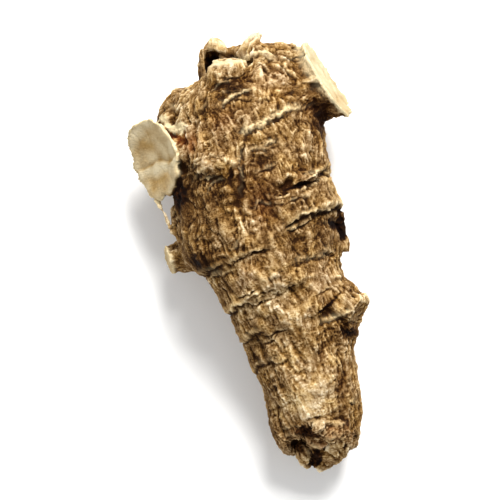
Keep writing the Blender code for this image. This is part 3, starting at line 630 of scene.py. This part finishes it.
def drawn(mesh):
    """The mesh's points in the drawing's millimetres."""
    return vectors_of(mesh.vertices, "co") / MM - DRAWN_FROM


def set_drawn(mesh, points):
    mesh.vertices.foreach_set("co", ((points + DRAWN_FROM) * MM).ravel())
    mesh.update()


def new_object(name, data):
    obj = bpy.data.objects.new(name, data)
    bpy.context.scene.collection.objects.link(obj)
    return obj


def object_of(name, bm):
    mesh = bpy.data.meshes.new(name)
    bm.to_mesh(mesh)
    bm.free()
    return new_object(name, mesh)


def apply_modifiers(obj):
    graph = bpy.context.evaluated_depsgraph_get()
    mesh = bpy.data.meshes.new_from_object(obj.evaluated_get(graph))
    obj.modifiers.clear()
    old = obj.data
    obj.data = mesh
    bpy.data.meshes.remove(old)


def one_skin(obj, voxel):
    remesh = obj.modifiers.new("skin", "REMESH")
    remesh.mode = "VOXEL"
    remesh.voxel_size = voxel * MM
    apply_modifiers(obj)


def add_blade(bm, blade):
    """Adds a closed, flattened tube along the blade's places."""
    stations = np.array(blade.stations)
    count = BLADE_STEPS * (len(stations) - 1) + 1
    place = np.linspace(0, len(stations) - 1, count)
    soft = np.stack([np.interp(place, range(len(stations)), stations[:, i]) for i in range(5)], axis=1)
    soft[1:-1] = (soft[:-2] + 2 * soft[1:-1] + soft[2:]) / 4
    rings = []
    for i, (x, y, z, half_width, half_thick) in enumerate(soft):
        along = unit(soft[min(i + 1, count - 1), :3] - soft[max(i - 1, 0), :3])
        side = unit(np.cross(along, blade.faces))
        up = np.cross(side, along)
        ring = []
        for k in range(BLADE_SIDES):
            turn = 2 * math.pi * k / BLADE_SIDES
            offset = side * half_width * math.cos(turn) + up * half_thick * math.sin(turn)
            ring.append(bm.verts.new((np.array([x, y, z]) + offset + DRAWN_FROM) * MM))
        rings.append(ring)
    for low, high in zip(rings, rings[1:]):
        for k in range(BLADE_SIDES):
            after = (k + 1) % BLADE_SIDES
            bm.faces.new((low[k], low[after], high[after], high[k]))
    bm.faces.new(tuple(reversed(rings[0])))
    bm.faces.new(tuple(rings[-1]))


def cut_away(obj, slot):
    bm = bmesh.new()
    add_blade(bm, slot)
    tool = object_of("slot_tool", bm)
    boolean = obj.modifiers.new("cut", "BOOLEAN")
    boolean.operation = "DIFFERENCE"
    boolean.solver = "MANIFOLD"
    boolean.object = tool
    apply_modifiers(obj)
    bpy.data.objects.remove(tool)


class Smoother:
    """Moves values on a mesh's points towards the average of their neighbours."""

    def __init__(self, mesh):
        edges = np.zeros(len(mesh.edges) * 2, np.int64)
        mesh.edges.foreach_get("vertices", edges)
        edges = edges.reshape(-1, 2)
        self.start, self.end = edges[:, 0], edges[:, 1]
        self.size = len(mesh.vertices)
        self.count = np.maximum(np.bincount(edges.ravel(), minlength=self.size), 1)

    def average(self, values):
        total = np.bincount(self.start, values[self.end], self.size)
        total += np.bincount(self.end, values[self.start], self.size)
        return total / self.count

    def smooth(self, values, passes, share=0.5):
        """Smooths one number or three for each point. share may differ from point to point."""
        if values.ndim == 1:
            for _ in range(passes):
                values = values + share * (self.average(values) - values)
            return values
        return np.stack([self.smooth(values[:, i], passes, share) for i in range(3)], axis=1)


def give(mesh, name, values, kind="FLOAT", key="value"):
    attribute = mesh.attributes.new(name, kind, "POINT")
    attribute.data.foreach_set(key, np.asarray(values, np.float32).ravel())


def short_rings():
    """Short transverse wrinkles all round the trunk, drawn by lot."""
    lot = np.random.RandomState(SEED + 1)
    rings = []
    for _ in range(SHORT_RINGS):
        start = lot.uniform(-180, 180)
        turn = lot.uniform(*SHORT_RING_TURN)
        along, lip = lot.uniform(*SHORT_RING_SPAN), lot.uniform(*SHORT_RING_LIP)
        rings.append(Ring(along, start, start + turn, lip, lot.uniform(*SHORT_RING_GROOVE)))
    return rings


def raise_to(total, near, values):
    """Raises the total at some of its points to these values, where they are the larger."""
    total[near] = np.maximum(total[near], values)


def ring_relief(points):
    """The lips and the cracks of the growth rings, from 0 to about 1."""
    along, angle = trunk_place(points)
    ragged = sum(share * noise_at(points, size, place) for share, size, place in RING_WANDER)
    broken = smoothstep(-0.55, 0.15, noise_at(points, 1.5, 73))
    uneven = at_least(0.45, broken)
    lip, crack = np.zeros((2, len(points)))
    for ring in RINGS:
        above = along + ragged - ring.along
        span = window(angle, ring.start, ring.end)
        lip = np.maximum(lip, span * ring.lip / 0.7 * uneven * bump(above, 0.30, 0.30))
        crack = np.maximum(crack, span * ring.groove / 0.8 * bump(above, -0.30, 0.26))
    for ring in short_rings():
        above = along + 1.5 * ragged - ring.along
        near = np.abs(above) < SHORT_RING_REACH
        span = window(angle[near], ring.start, ring.end)
        raised = span * ring.lip * broken[near] * bump(above[near], 0.2, 0.22)
        raise_to(lip, near, raised)
        raise_to(crack, near, span * ring.groove * bump(above[near], -0.22, 0.2))
    return lip, crack


def crest_relief(points, normals):
    """The raised crests of the upper side, how pale they are, and the cracks below them."""
    lift, pale, crack = np.zeros((3, len(points)))
    ragged = swayed(points, 0.42, 1.5, 80)[:, :2] + 0.33 * drift(points, 0.5, 84)[:, :2]
    upper = smoothstep(0.0, 0.3, normals[:, 2])
    broken = at_least(0.25, smoothstep(-0.4, 0.3, noise_at(points, 0.9, 88)))
    shreds = at_least(0.2, smoothstep(-0.4, 0.2, noise_at(points, 0.35, 89)))
    open_crack = at_least(0.3, smoothstep(-0.3, 0.3, noise_at(points, 1.4, 87)))
    for crest in CRESTS:
        line = np.array(crest.line)
        low, high = line.min(axis=0) - CREST_REACH, line.max(axis=0) + CREST_REACH
        near = np.flatnonzero(((ragged > low) & (ragged < high)).all(axis=1))
        place = ragged[near]
        steps = np.linalg.norm(np.diff(line, axis=0), axis=1)
        best = np.full(len(near), FAR_OFF)
        above = np.zeros(len(near))
        gone = np.zeros(len(near))
        for k, (start, end) in enumerate(zip(line, line[1:])):
            along = (end - start) / steps[k]
            run = (place - start) @ along
            off = (place - start) @ (-along[1], along[0])
            distance = np.hypot(off, np.maximum(np.maximum(-run, run - steps[k]), 0))
            closer = distance < best
            best[closer], above[closer] = distance[closer], off[closer]
            gone[closer] = steps[:k].sum() + np.clip(run[closer], 0, steps[k])
        from_end = np.minimum(gone, steps.sum() - gone)
        taper = min(CREST_TAPER, 0.4 * steps.sum())
        whole = upper[near] * at_least(0.15, smoothstep(0.0, taper, from_end))
        width = crest.half_width * np.where(above > 0, CREST_ABOVE, CREST_BELOW)
        from_crack = np.hypot(above + CRACK_BELOW * crest.half_width, best - np.abs(above))
        below = bump(from_crack, 0, crest.half_width)
        edge = bump(best, 0, 0.5 * (width + crest.half_width))
        raised = crest.lift * whole * bump(best, 0, width) * at_least(0.3, broken[near])
        raise_to(lift, near, raised)
        raise_to(pale, near, crest.pale * whole * edge * broken[near] * shreds[near])
        raise_to(crack, near, crest.crack * whole * below * open_crack[near])
    return lift, pale, crack


def ridges(noise):
    """Sharp crests, of height 1, where the noise passes through 0."""
    return np.clip(1 - np.abs(noise) / RIDGE_WIDTH, 0, 1)


def straightness(points):
    """Where the wrinkles are long and straight, as they are towards the thin end."""
    towards_end = smoothstep(-8, -20, points[:, 1])
    return smoothstep(-0.1, 0.4, 0.6 * noise_at(points, 9.0, 10) + 0.8 * towards_end - 0.2)


def bark_relief(points, axis, straight):
    """How far the dried bark's wrinkles are raised at each point."""
    folds = sum(grain.folds * near_spot(points, grain) for grain in GRAINS)
    folds *= SKEW_FOLDS * np.tanh(combed(swayed(points, 0.5, 2.0, 46), axis, 0.95, 1.9, 16))
    bent = swayed(points, 0.40, 2.2, 1) + 0.20 * (1 - 0.6 * straight)[:, None] * drift(points, 0.7, 4)
    narrow = np.tanh(0.9 * combed(bent, axis, 0.40, 0.9, 7))
    net = ridges(combed(bent, axis, 0.64, 1.5, 8))
    long_net = ridges(combed(bent, axis, 0.66, 3.6, 9))
    cross_net = ridges(1.6 * noise_at(bent, 1.1, 14))
    fold = combed(swayed(points, 0.7, 3.0, 40), axis, 1.6, 2.4, 12)
    broad = noise_at(points, 5.0, 13)
    net = net + straight * (long_net - net)
    strength = 1.0 + 0.6 * noise_at(points, 3.5, 11) - 0.25 * smoothstep(24.0, 31.0, points[:, 1])
    crevice = smoothstep(0.9, 1.9, combed(swayed(points, 0.5, 1.6, 44), axis, 0.9, 2.2, 15))
    strands = ridges(combed(swayed(points, 0.3, 2.0, 48), axis, 0.9, 4.0, 17))
    fine = NARROW * (1 - 0.7 * straight) * narrow + NET * (net - LEVEL_RIDGE)
    fine += CROSS_NET * (1 - 0.8 * straight) * (cross_net - LEVEL_RIDGE)
    long_wrinkles = STRANDS * straight * (strands - LEVEL_RIDGE)
    fine += long_wrinkles + LONG_NET * straight * (long_net - LEVEL_RIDGE)
    return strength * fine + FOLD * fold + BROAD * broad - CREVICE * crevice + folds


def face_axes(face):
    """Two axes that lie in a cut face, and the way it faces."""
    normal = unit(face.faces)
    side = unit(np.cross(normal, (0, 0, 1)))
    return side, np.cross(side, normal), normal


def face_places(points, face):
    """Each point's place on a cut face, from its middle, and its height above the dished face."""
    side, up, normal = face_axes(face)
    away = points - np.array(face.place)
    x, y = away @ side, away @ up
    dish = face.dish * np.clip(1 - (np.hypot(x, y) / (0.78 * face.reach)) ** 2, 0, 1)
    return x, y, away @ normal + dish


def in_tube(points, tube, margin=0.0):
    """1 inside the walls of a blade or slot, moved out by a margin, and 0 a little outside them."""
    nearest = np.full(len(points), FAR_OFF)
    stations = np.array(tube.stations)
    reach = stations[:, 3:].max() + margin + 1.0
    low, high = stations[:, :3].min(axis=0) - reach, stations[:, :3].max(axis=0) + reach
    close = np.flatnonzero(((points > low) & (points < high)).all(axis=1))
    count = len(stations)
    for share in np.linspace(0, count - 1, BLADE_STEPS * count):
        x, y, z, width, depth = (np.interp(share, range(count), stations[:, i]) for i in range(5))
        away = (points[close] - (x, y, z)) / (width + margin, width + margin, depth + margin)
        nearest[close] = np.minimum(nearest[close], (away**2).sum(axis=1))
    return smoothstep(2.2, 0.8, nearest)


def skin_of_solid(name):
    """The solid with the blades joined to it and the slots cut away, as one skin of fine even faces."""
    obj = new_object(name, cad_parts["ginseng_root"].data.copy())
    obj.data.materials.clear()
    bm = bmesh.new()
    bm.from_mesh(obj.data)
    for blade in BLADES.values():
        add_blade(bm, blade)
    bm.to_mesh(obj.data)
    bm.free()
    one_skin(obj, JOIN_VOXEL)
    for slot in SLOTS.values():
        cut_away(obj, slot)
    one_skin(obj, FINE_VOXEL)
    return obj


def soften(points, smoother):
    """Smooths the facets away, but not the cut faces, the flats, the blades or the slots."""
    hold = smoothstep(*FLOOR_FADE, points[:, 2])
    for face in CUT_FACES.values():
        x, y, height = face_places(points, face)
        on_it = (np.abs(height) < FACE_DEPTH) & (np.hypot(x, y) < face.reach)
        hold = np.maximum(hold, HELD * on_it)
    for tube in TUBES:
        hold = np.maximum(hold, HELD * in_tube(points, tube, TUBE_MARGIN))
    torn_end = smoothstep(*TORN_FADE, points[:, 1])
    knob = smoothstep(*KNOB_FADE, np.linalg.norm(points - CUT_FACES["knob"].place, axis=1))
    soft = smoothstep(*THIN_FADE, points @ TRUNK_ALONG) * (1 - np.maximum(torn_end, knob))
    soft = np.maximum(soft, smoothstep(*PIT_FADE, np.linalg.norm(points - PIT, axis=1)))
    points = smoother.smooth(points, RELAX_PASSES, 0.5 * (1 - hold))
    return smoother.smooth(points, SOFT_PASSES, 0.5 * (1 - hold) * soft)


def mark_left_face(points, skin, at):
    """The red bark and the folds behind the left face, and the wave and the tones across it."""
    upper_side = smoothstep(-2.0, 3.0, points[:, 1] - 17.0)
    red_lines = 0.75 + 0.6 * noise_at(points, 0.5, 69)
    red_lines *= bump(at.torn_edge + 0.4 * at.rough, 1.5, 0.55) * upper_side
    skin.stain = np.maximum(skin.stain, 1.3 * at.neck * smoothstep(0.2, 0.6, red_lines))
    fold = 0.4 * bump(at.behind + 0.6 * at.rough, 2.9, 0.5)
    skin.swell += at.neck * (fold - 0.4 * bump(at.behind, 1.6, 0.6) * upper_side)
    second_line = bump(at.torn_edge + 0.4 * at.rough, 2.6, 0.36) * upper_side
    skin.collar = np.maximum(skin.collar, 0.9 * at.neck * smoothstep(*RIM_FADE, second_line))
    wave = at.x + 1.0 + 0.18 * np.maximum(at.y, 0) + 0.7 * noise_at(points, 2.8, 61)
    lower = smoothstep(0.25, -0.25, wave)
    skin.face_relief += at.mask * (0.30 * lower - 0.12 * bump(wave, 0.35, 0.3))
    # below the wave the face is palest just under it, partly its own tone and partly painted light on
    # the step's edge; a darker line along the wave is painted shade under the step
    below_wave = lower * (0.8 * bump(wave, -0.9, 1.3) - 0.35)
    skin.tone += at.mask * (below_wave - 0.3 * bump(wave, 0.25, 0.3))
    skin.tone -= at.mask * 0.25 * bump(np.hypot(at.x - 2.0, at.y), 0, 2.6)
    skin.tone += at.mask * (0.45 * noise_at(points, 2.2, 66) + 0.25 * smoothstep(4.8, 6.8, at.r))


def mark_right_face(points, skin, at):
    """The wide pale collar on one side of the right face, and the tones across it."""
    wide = at.neck * smoothstep(2.4, 0.6, at.behind + 1.4 * at.rough)
    broken = 0.45 + 0.35 * noise_at(points, 0.7, 67)
    skin.collar = np.maximum(skin.collar, wide * broken * smoothstep(5.0, 0.0, at.x))
    skin.tone -= at.mask * (0.4 * smoothstep(-2.0, 6.5, at.x) - 0.3 * noise_at(points, 1.8, 66))


def mark_faces(points, normals, skin):
    """How surely each point is on a cut face, the rims behind the faces, and their rings and rays."""
    for key, face in CUT_FACES.items():
        x, y, height = face_places(points, face)
        r = np.hypot(x, y)
        mask = smoothstep(*FACE_FADE, np.abs(height))
        mask *= smoothstep(*TILT_FADE, normals @ unit(face.faces))
        mask *= smoothstep(face.reach, 0.97 * face.reach, r)
        behind = -height
        outer, inner = (face.radius * share for share in NECK_FADE)
        neck = smoothstep(outer, inner, r) * smoothstep(-0.6, 0.0, behind)
        neck *= 1 - mask
        rough = 0.5 * noise_at(points, 1.2, 60)
        groove = 0.9 * bump(behind + rough, 2.3, 1.2)
        skin.swell += face.flare * neck * (bump(behind, 0.15, 0.55) - groove)
        torn_edge = behind + 0.2 * noise_at(points, 0.5, 68)
        rim = bump(torn_edge, 0.05, face.rim + 0.2 * noise_at(points, 0.9, 68))
        at_edge = neck * smoothstep(face.reach + 0.6, face.reach, r)
        at_edge *= smoothstep(*RIM_FADE, rim)
        skin.collar = np.maximum(skin.collar, 1.2 * face.clean * at_edge)
        at = SimpleNamespace(
            x=x, y=y, r=r, mask=mask, neck=neck, behind=behind, rough=rough, torn_edge=torn_edge)
        if key == "left":
            mark_left_face(points, skin, at)
        if key == "right":
            mark_right_face(points, skin, at)
        skin.tone += mask * face.tone

        # a growth ring and rays on the clean flesh
        mask = mask * face.clean
        out = r / face.radius
        ring = bump(out, 0.62 + 0.05 * noise_at(points, 3.0, 62), 0.05)
        rays = np.abs(noise_at(np.stack([np.arctan2(y, x) * 7, r * 0.25, 0 * r], axis=1), 1.0, 63))
        marks = 0.3 * ring + 0.25 * smoothstep(0.1, 0.0, rays) * smoothstep(0.15, 0.5, out)
        skin.tone -= face.marks * mask * marks
        uneven = 0.06 * noise_at(points, 0.8, 64) + 0.16 * noise_at(points, 2.4, 65)
        skin.face_relief += mask * uneven
        ray_grooves = 0.10 * smoothstep(0.12, 0.0, rays) * smoothstep(0.1, 0.4, out)
        skin.face_relief -= mask * (0.08 * ring + ray_grooves)
        skin.cut = np.maximum(skin.cut, mask)


def mark_spots(points, skin):
    """Adds up what the spots, the blades and the slots do to the bark at each point."""
    for mark in (*SPOTS, *TUBES):
        if isinstance(mark, Spot):
            near = near_spot(points, mark)
            skin.swell += mark.raise_by * near
        else:
            near = in_tube(points, mark, 0.1 if mark.calm else 0.0)
            skin.frayed = np.maximum(skin.frayed, min(1.0, 2 * mark.calm) * near)
        skin.dark += mark.dark * near
        skin.red += mark.red * near
        skin.calm += mark.calm * near


def root_mesh(name):
    """The fine mesh of the whole root, with the values that its material reads."""
    obj = skin_of_solid(name)
    mesh = obj.data
    smoother = Smoother(mesh)
    points = soften(drawn(mesh), smoother)
    set_drawn(mesh, points)
    normals = normals_of(mesh)

    # the cut faces, the spots and the torn end
    skin = SimpleNamespace(**{key: np.zeros(len(points)) for key in SKIN_VALUES})
    mark_faces(points, normals, skin)
    inner = smoother.smooth(skin.cut, RIM_PASSES)
    rim = np.clip(4 * inner * (1 - inner), 0, 1)
    mark_spots(points, skin)
    tear_height = (points - TEAR_PLACE) @ unit(TEAR_FACES)
    torn = smoothstep(*TEAR_BELOW, tear_height) * smoothstep(*TEAR_ABOVE, tear_height)
    torn *= smoothstep(*TEAR_TILT, normals @ unit(TEAR_FACES))
    points = points + normals * (skin.swell * (1 - skin.cut))[:, None]
    points += FRAY * skin.frayed[:, None] * drift(points, FRAY_SIZE, 95)
    set_drawn(mesh, points)

    # the rings, the crests and the wrinkles
    normals = normals_of(mesh)
    axis = wrinkle_axis(points, smoother.smooth(normals, AXIS_PASSES))
    lip, crack = ring_relief(points)
    lift, pale, under = crest_relief(points, normals)
    crack = np.maximum(crack, under)
    straight = straightness(points)
    bark = (1 - skin.cut) * (1 - 0.45 * torn) * (1 - np.clip(skin.calm, 0, MOST_CALM))
    height = bark * (bark_relief(points, axis, straight) + LIP_LIFT * lip + lift - CRACK_DEPTH * crack)
    fibre = combed(swayed(points, 0.3, 1.2, 50), axis, 0.45, 2.0, 51)
    height += skin.face_relief + torn * FIBRE * fibre + RIM_LIFT * rim * (1 - skin.cut)
    points = points + near_unit(smoother.smooth(normals, OUTWARD_PASSES)) * height[:, None]
    points = smoother.smooth(points, 1, 0.3)
    points += sum(near_spot(points, shift)[:, None] * np.array(shift.move) for shift in SHIFTS)
    points[:, 2] = np.maximum(points[:, 2], 0.0)
    set_drawn(mesh, points)

    # crests stand above the smoothed surface, and hollows lie below it; the material paints the hollows
    # darker and the crests paler, partly as shade and highlight
    normals = normals_of(mesh)
    level = points
    for key, (passes, least, most) in CREST_LEVELS.items():
        level = smoother.smooth(level, passes)
        give(mesh, key, np.clip(((points - level) * normals).sum(axis=1), least, most))
    rim = np.maximum(rim * (1 - 0.5 * skin.cut), skin.collar) * smoothstep(0.6, 0.25, skin.dark)
    give(mesh, "lip", np.maximum(0.5 * lip, pale))
    # the cracks, which the material colours near-black as painted shade
    give(mesh, "crack", crack)
    give(mesh, "cut", skin.cut)
    give(mesh, "rim", rim)
    give(mesh, "cut_tone", skin.tone)
    give(mesh, "torn", torn)
    give(mesh, "dark", np.clip(skin.dark + 0.4 * skin.stain, -1, 1))
    give(mesh, "red", np.clip(np.maximum(skin.red, skin.stain), 0, 1))
    give(mesh, "straight", straight)
    give(mesh, "axis", axis, "FLOAT_VECTOR", "vector")

    mesh.calc_loop_triangles()
    thin = obj.modifiers.new("thin", "DECIMATE")
    thin.ratio = min(1.0, MOST_TRIANGLES / len(mesh.loop_triangles))
    thin.use_collapse_triangulate = True
    apply_modifiers(obj)
    obj.data.shade_smooth()
    return obj


COMB_STEPS = 4
COMB_SHARE = 0.5


class Nodes:
    """A short way to write a material's nodes."""

    def __init__(self, name):
        self.material = bpy.data.materials.new(name)
        self.material.use_nodes = True
        self.tree = self.material.node_tree
        self.shader = self.tree.nodes["Principled BSDF"]

    def new(self, kind, **settings):
        node = self.tree.nodes.new(kind)
        for key, value in settings.items():
            setattr(node, key, value)
        return node

    def put(self, socket, value):
        if isinstance(value, bpy.types.NodeSocket):
            self.tree.links.new(value, socket)
        else:
            socket.default_value = value

    def fill(self, node, **values):
        for key, value in values.items():
            self.put(node.inputs[key], value)

    def made(self, node, values, sockets=(0, 1, 2)):
        """The first output of a node whose sockets are given these values."""
        for socket, value in zip(sockets, values):
            self.put(node.inputs[socket], value)
        return node.outputs[0]

    def value(self, name):
        return self.new("ShaderNodeAttribute", attribute_name=name).outputs["Fac"]

    def part(self, name, share):
        """The value of this name times a share, kept between 0 and 1."""
        return self.math("MULTIPLY", self.value(name), share, clamp=True)

    def vector(self, name):
        return self.new("ShaderNodeAttribute", attribute_name=name).outputs["Vector"]

    def place(self):
        """The place on the piece, in millimetres."""
        coordinates = self.new("ShaderNodeTexCoord").outputs["Object"]
        return self.vector_math("SCALE", (coordinates, 1 / MM), (0, "Scale"))

    def math(self, operation, a, b=0.0, c=0.0, clamp=False):
        return self.made(self.new("ShaderNodeMath", operation=operation, use_clamp=clamp), (a, b, c))

    def vector_math(self, operation, values, sockets=(0, 1, 2)):
        return self.made(self.new("ShaderNodeVectorMath", operation=operation), values, sockets)

    def total(self, *parts, clamp=False):
        """The sum of pairs of a value and its share, after a first plain number."""
        result = parts[0]
        for value, share in parts[1:]:
            result = self.math("MULTIPLY_ADD", value, share, result)
        if clamp:
            result = self.math("ADD", result, 0.0, clamp=True)
        return result

    def mix(self, share, a, b, blend="MIX"):
        node = self.new("ShaderNodeMix", data_type="RGBA", blend_type=blend)
        self.made(node, (share, a, b), (0, 6, 7))
        return node.outputs[2]

    def blend(self, share, a, b):
        """The number a, or b where the share is 1."""
        return self.made(self.new("ShaderNodeMix", data_type="FLOAT"), (share, a, b), (0, 2, 3))

    def noise(self, place, size, detail=2.0, rough=0.55, warp=0.0):
        """Noise with cells of this many millimetres."""
        scaled = self.vector_math("MULTIPLY", (place, (1 / size,) * 3))
        node = self.new("ShaderNodeTexNoise")
        self.fill(node, Vector=scaled, Scale=1.0, Detail=detail, Roughness=rough, Distortion=warp)
        return node.outputs["Fac"]

    def combed(self, place, axis, size, reach):
        """Noise drawn out along an axis, with about the same contrast as plain noise."""
        total = 0.5 * (1 - COMB_STEPS * COMB_SHARE)
        for k in range(COMB_STEPS):
            step = reach * (2 * k / (COMB_STEPS - 1) - 1)
            moved = self.vector_math("MULTIPLY_ADD", (axis, (step,) * 3, place))
            total = self.math("MULTIPLY_ADD", self.noise(moved, size, 1.0), COMB_SHARE, total)
        return total

    def crack(self, noise, width):
        """1 along the lines where the noise is at its middle, and 0 farther from them than the width."""
        off = self.math("ABSOLUTE", self.math("SUBTRACT", noise, 0.5))
        return self.math("MULTIPLY_ADD", off, -1 / width, 1.0, clamp=True)

    def ramp(self, value, stops):
        node = self.new("ShaderNodeValToRGB")
        self.fill(node, Fac=value)
        band = node.color_ramp
        while len(band.elements) < len(stops):
            band.elements.new(0.5)
        for element, (place, colour) in zip(band.elements, stops):
            element.position = place
            element.color = srgb(*colour)
        return node.outputs["Color"]

    def bump(self, height, distance, strength):
        node = self.new("ShaderNodeBump")
        self.fill(node, Strength=strength, Distance=distance * MM, Height=height)
        return node.outputs["Normal"]


def srgb(red, green, blue):
    """A colour given in 0 to 255 steps of a picture, as light."""
    steps = (c / 255 for c in (red, green, blue))
    return (*(c / 12.92 if c <= 0.04045 else ((c + 0.055) / 1.055) ** 2.4 for c in steps), 1.0)


# Colours in the 0 to 255 steps of a picture: the bark's from its hollows to its crests, which are partly
# its own colour and partly painted shade in the hollows and painted highlight on the crests, and plain
# ones.
BARK_BROWN = [
    (0.0, (38, 19, 3)), (0.25, (88, 60, 28)), (0.5, (137, 108, 70)), (0.75, (187, 161, 122)),
    (1.0, (230, 213, 180)),
]  # fmt: skip
BARK_YELLOW = [(0.0, (46, 24, 4)), (0.35, (122, 87, 40)), (0.7, (193, 159, 103)), (1.0, (234, 211, 162))]
BARK_RED = [(0.0, (60, 20, 4)), (0.5, (124, 60, 20)), (1.0, (188, 118, 58))]
TORN_BROWN = [(0.2, (44, 24, 9)), (0.5, (100, 70, 38)), (0.85, (180, 148, 104))]
LIP_COLOUR = (236, 212, 162)
CRACK_SHADE = (34, 17, 5)
RIM_COLOUR = (228, 211, 168)
SHADE = (118, 92, 60)
TAN_FLESH = (172, 143, 92), (138, 108, 62)
CREAM_FLESH = (216, 203, 172), (188, 170, 130)
BARK_SPECULAR = 0.06
CRACK_WIDTH = 0.02
BUMP_HEIGHT, BUMP_STRENGTH = 0.30, 0.55
FLOOR_SIZE = 3.0
FLOOR_COLOUR = (0.92, 0.92, 0.915, 1.0)
FLOOR_ROUGHNESS = 0.6


def bark_material():
    n = Nodes("ginseng_bark")
    axis, place = n.vector("axis"), n.place()
    straight = n.value("straight")
    grain = n.blend(straight, n.combed(place, axis, 0.34, 0.55), n.combed(place, axis, 0.40, 2.4))
    speck = n.noise(place, 0.3, 2.0, 0.7)
    long_noise = n.blend(straight, n.combed(place, axis, 0.8, 1.3), n.combed(place, axis, 0.9, 3.2))
    crack = n.crack(long_noise, CRACK_WIDTH)
    cross_crack = n.crack(n.noise(place, 1.1, 1.0, 0.5, 0.8), CRACK_WIDTH)
    patch = n.noise(place, 4.5, 3.0, 0.55)
    warm = n.noise(place, 3.0, 2.0, 0.5, 0.5)

    # the bark's tone from the relief, darker in hollows and paler on crests: partly its own colour,
    # partly painted shade and highlight
    level = n.total(
        -0.41,
        (n.value("crest_fine"), 1.7),
        (n.value("crest_mid"), 1.0),
        (n.value("crest_broad"), 0.45),
        (grain, 0.48),
        (speck, 0.26),
        (patch, 0.85),
        (n.value("dark"), -0.42),
        (crack, -0.26),
        (cross_crack, -0.10),
        clamp=True,
    )
    yellow = n.math("MULTIPLY_ADD", warm, 3.0, -1.2, clamp=True)
    colour = n.mix(yellow, n.ramp(level, BARK_BROWN), n.ramp(level, BARK_YELLOW))
    colour = n.mix(n.part("red", 0.8), colour, n.ramp(level, BARK_RED))
    colour = n.mix(n.part("lip", 0.85), colour, srgb(*LIP_COLOUR))
    # painted shade: the cracks under the crests and the rings' grooves coloured near-black
    colour = n.mix(n.part("crack", 1.0), colour, srgb(*CRACK_SHADE))

    # the torn end's tone from the relief, its hollows darker partly as painted shade
    torn = n.total(0.0, (grain, 0.7), (n.value("crest_fine"), 3.0), (patch, 0.3))
    colour = n.mix(n.part("torn", 0.8), colour, n.ramp(torn, TORN_BROWN))
    # painted shade, with some of the bark's own darker tone: the colour is multiplied darker in slots,
    # holes and hollows, under rims and flaps, and where the spots and the red stain ask for it
    shade = n.mix(1.0, colour, srgb(*SHADE), "MULTIPLY")
    colour = n.mix(n.math("MULTIPLY_ADD", n.value("dark"), 2.0, -1.0, clamp=True), colour, shade)

    mottle = n.total(-0.85, (n.noise(place, 2.4, 4.0, 0.6), 1.8), (speck, 0.75), clamp=True)
    tan, cream = (n.mix(mottle, srgb(*low), srgb(*high)) for low, high in (TAN_FLESH, CREAM_FLESH))
    colour = n.mix(n.part("rim", 1.0), colour, srgb(*RIM_COLOUR))
    colour = n.mix(n.value("cut"), colour, n.mix(n.value("cut_tone"), tan, cream))

    n.put(n.shader.inputs["Base Color"], colour)
    n.put(n.shader.inputs["Roughness"], n.math("MULTIPLY_ADD", grain, -0.25, 0.92))
    n.shader.inputs["Specular IOR Level"].default_value = BARK_SPECULAR
    height = n.total(0.0, (grain, 1.0), (speck, 0.45), (crack, -0.45), (cross_crack, -0.25))
    n.put(n.shader.inputs["Normal"], n.bump(height, BUMP_HEIGHT, BUMP_STRENGTH))
    return n.material


def floor():
    n = Nodes("floor_white")
    n.shader.inputs["Base Color"].default_value = FLOOR_COLOUR
    n.shader.inputs["Roughness"].default_value = FLOOR_ROUGHNESS
    bm = bmesh.new()
    bmesh.ops.create_grid(bm, x_segments=1, y_segments=1, size=FLOOR_SIZE)
    obj = object_of("floor", bm)
    obj.data.materials.append(n.material)


def aim(obj, place, target, up=(0, 1, 0)):
    """Puts a lamp or camera at a place, looking at a target, with the given way up in its picture."""
    place, target = Vector(place), Vector(target)
    back = (place - target).normalized()
    right = Vector(up).cross(back).normalized()
    turn = Matrix((right, back.cross(right), back)).transposed()
    obj.matrix_world = Matrix.Translation(place) @ turn.to_4x4()


CAMERA_ELEVATION = 86.0
CAMERA_FILL = 0.88
LENS, SENSOR = 100, 36
CLIP_START = 0.01
LAMPS_AIM_AT = (0, 0, 0.01)
WORLD_STRENGTH = 0.55


def camera():
    data = bpy.data.cameras.new("camera")
    obj = new_object("camera", data)
    data.lens = LENS
    data.sensor_width = SENSOR
    data.clip_start = CLIP_START
    low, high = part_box("ginseng_root")
    target = (low + high) / 2
    elevation = math.radians(CAMERA_ELEVATION)
    distance = (high.y - low.y) / CAMERA_FILL * data.lens / data.sensor_width
    aim(obj, target + Vector((0, -math.cos(elevation), math.sin(elevation))) * distance, target)
    bpy.context.scene.camera = obj


def lamp(name, place, size, watts, colour=(1, 1, 1)):
    data = bpy.data.lights.new(name, "AREA")
    data.size = size
    data.energy = watts
    data.color = colour
    aim(new_object(name, data), place, LAMPS_AIM_AT, (0, 0.7, 0.7))


def lights():
    lamp("key", (0.14, 0.50, 0.56), 0.28, 10.0, (1.0, 0.99, 0.975))
    lamp("fill", (-0.5, -0.35, 0.7), 0.8, 2.0)
    world = bpy.data.worlds.new("studio")
    world.use_nodes = True
    background = world.node_tree.nodes["Background"]
    background.inputs["Color"].default_value = (1, 1, 1, 1)
    background.inputs["Strength"].default_value = WORLD_STRENGTH
    bpy.context.scene.world = world
    bpy.context.scene.view_settings.view_transform = "Standard"


root = root_mesh("root_bark")
root.data.materials.clear()
root.data.materials.append(bark_material())
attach(root, "root")
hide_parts("ginseng_root")
floor()
lights()
camera()
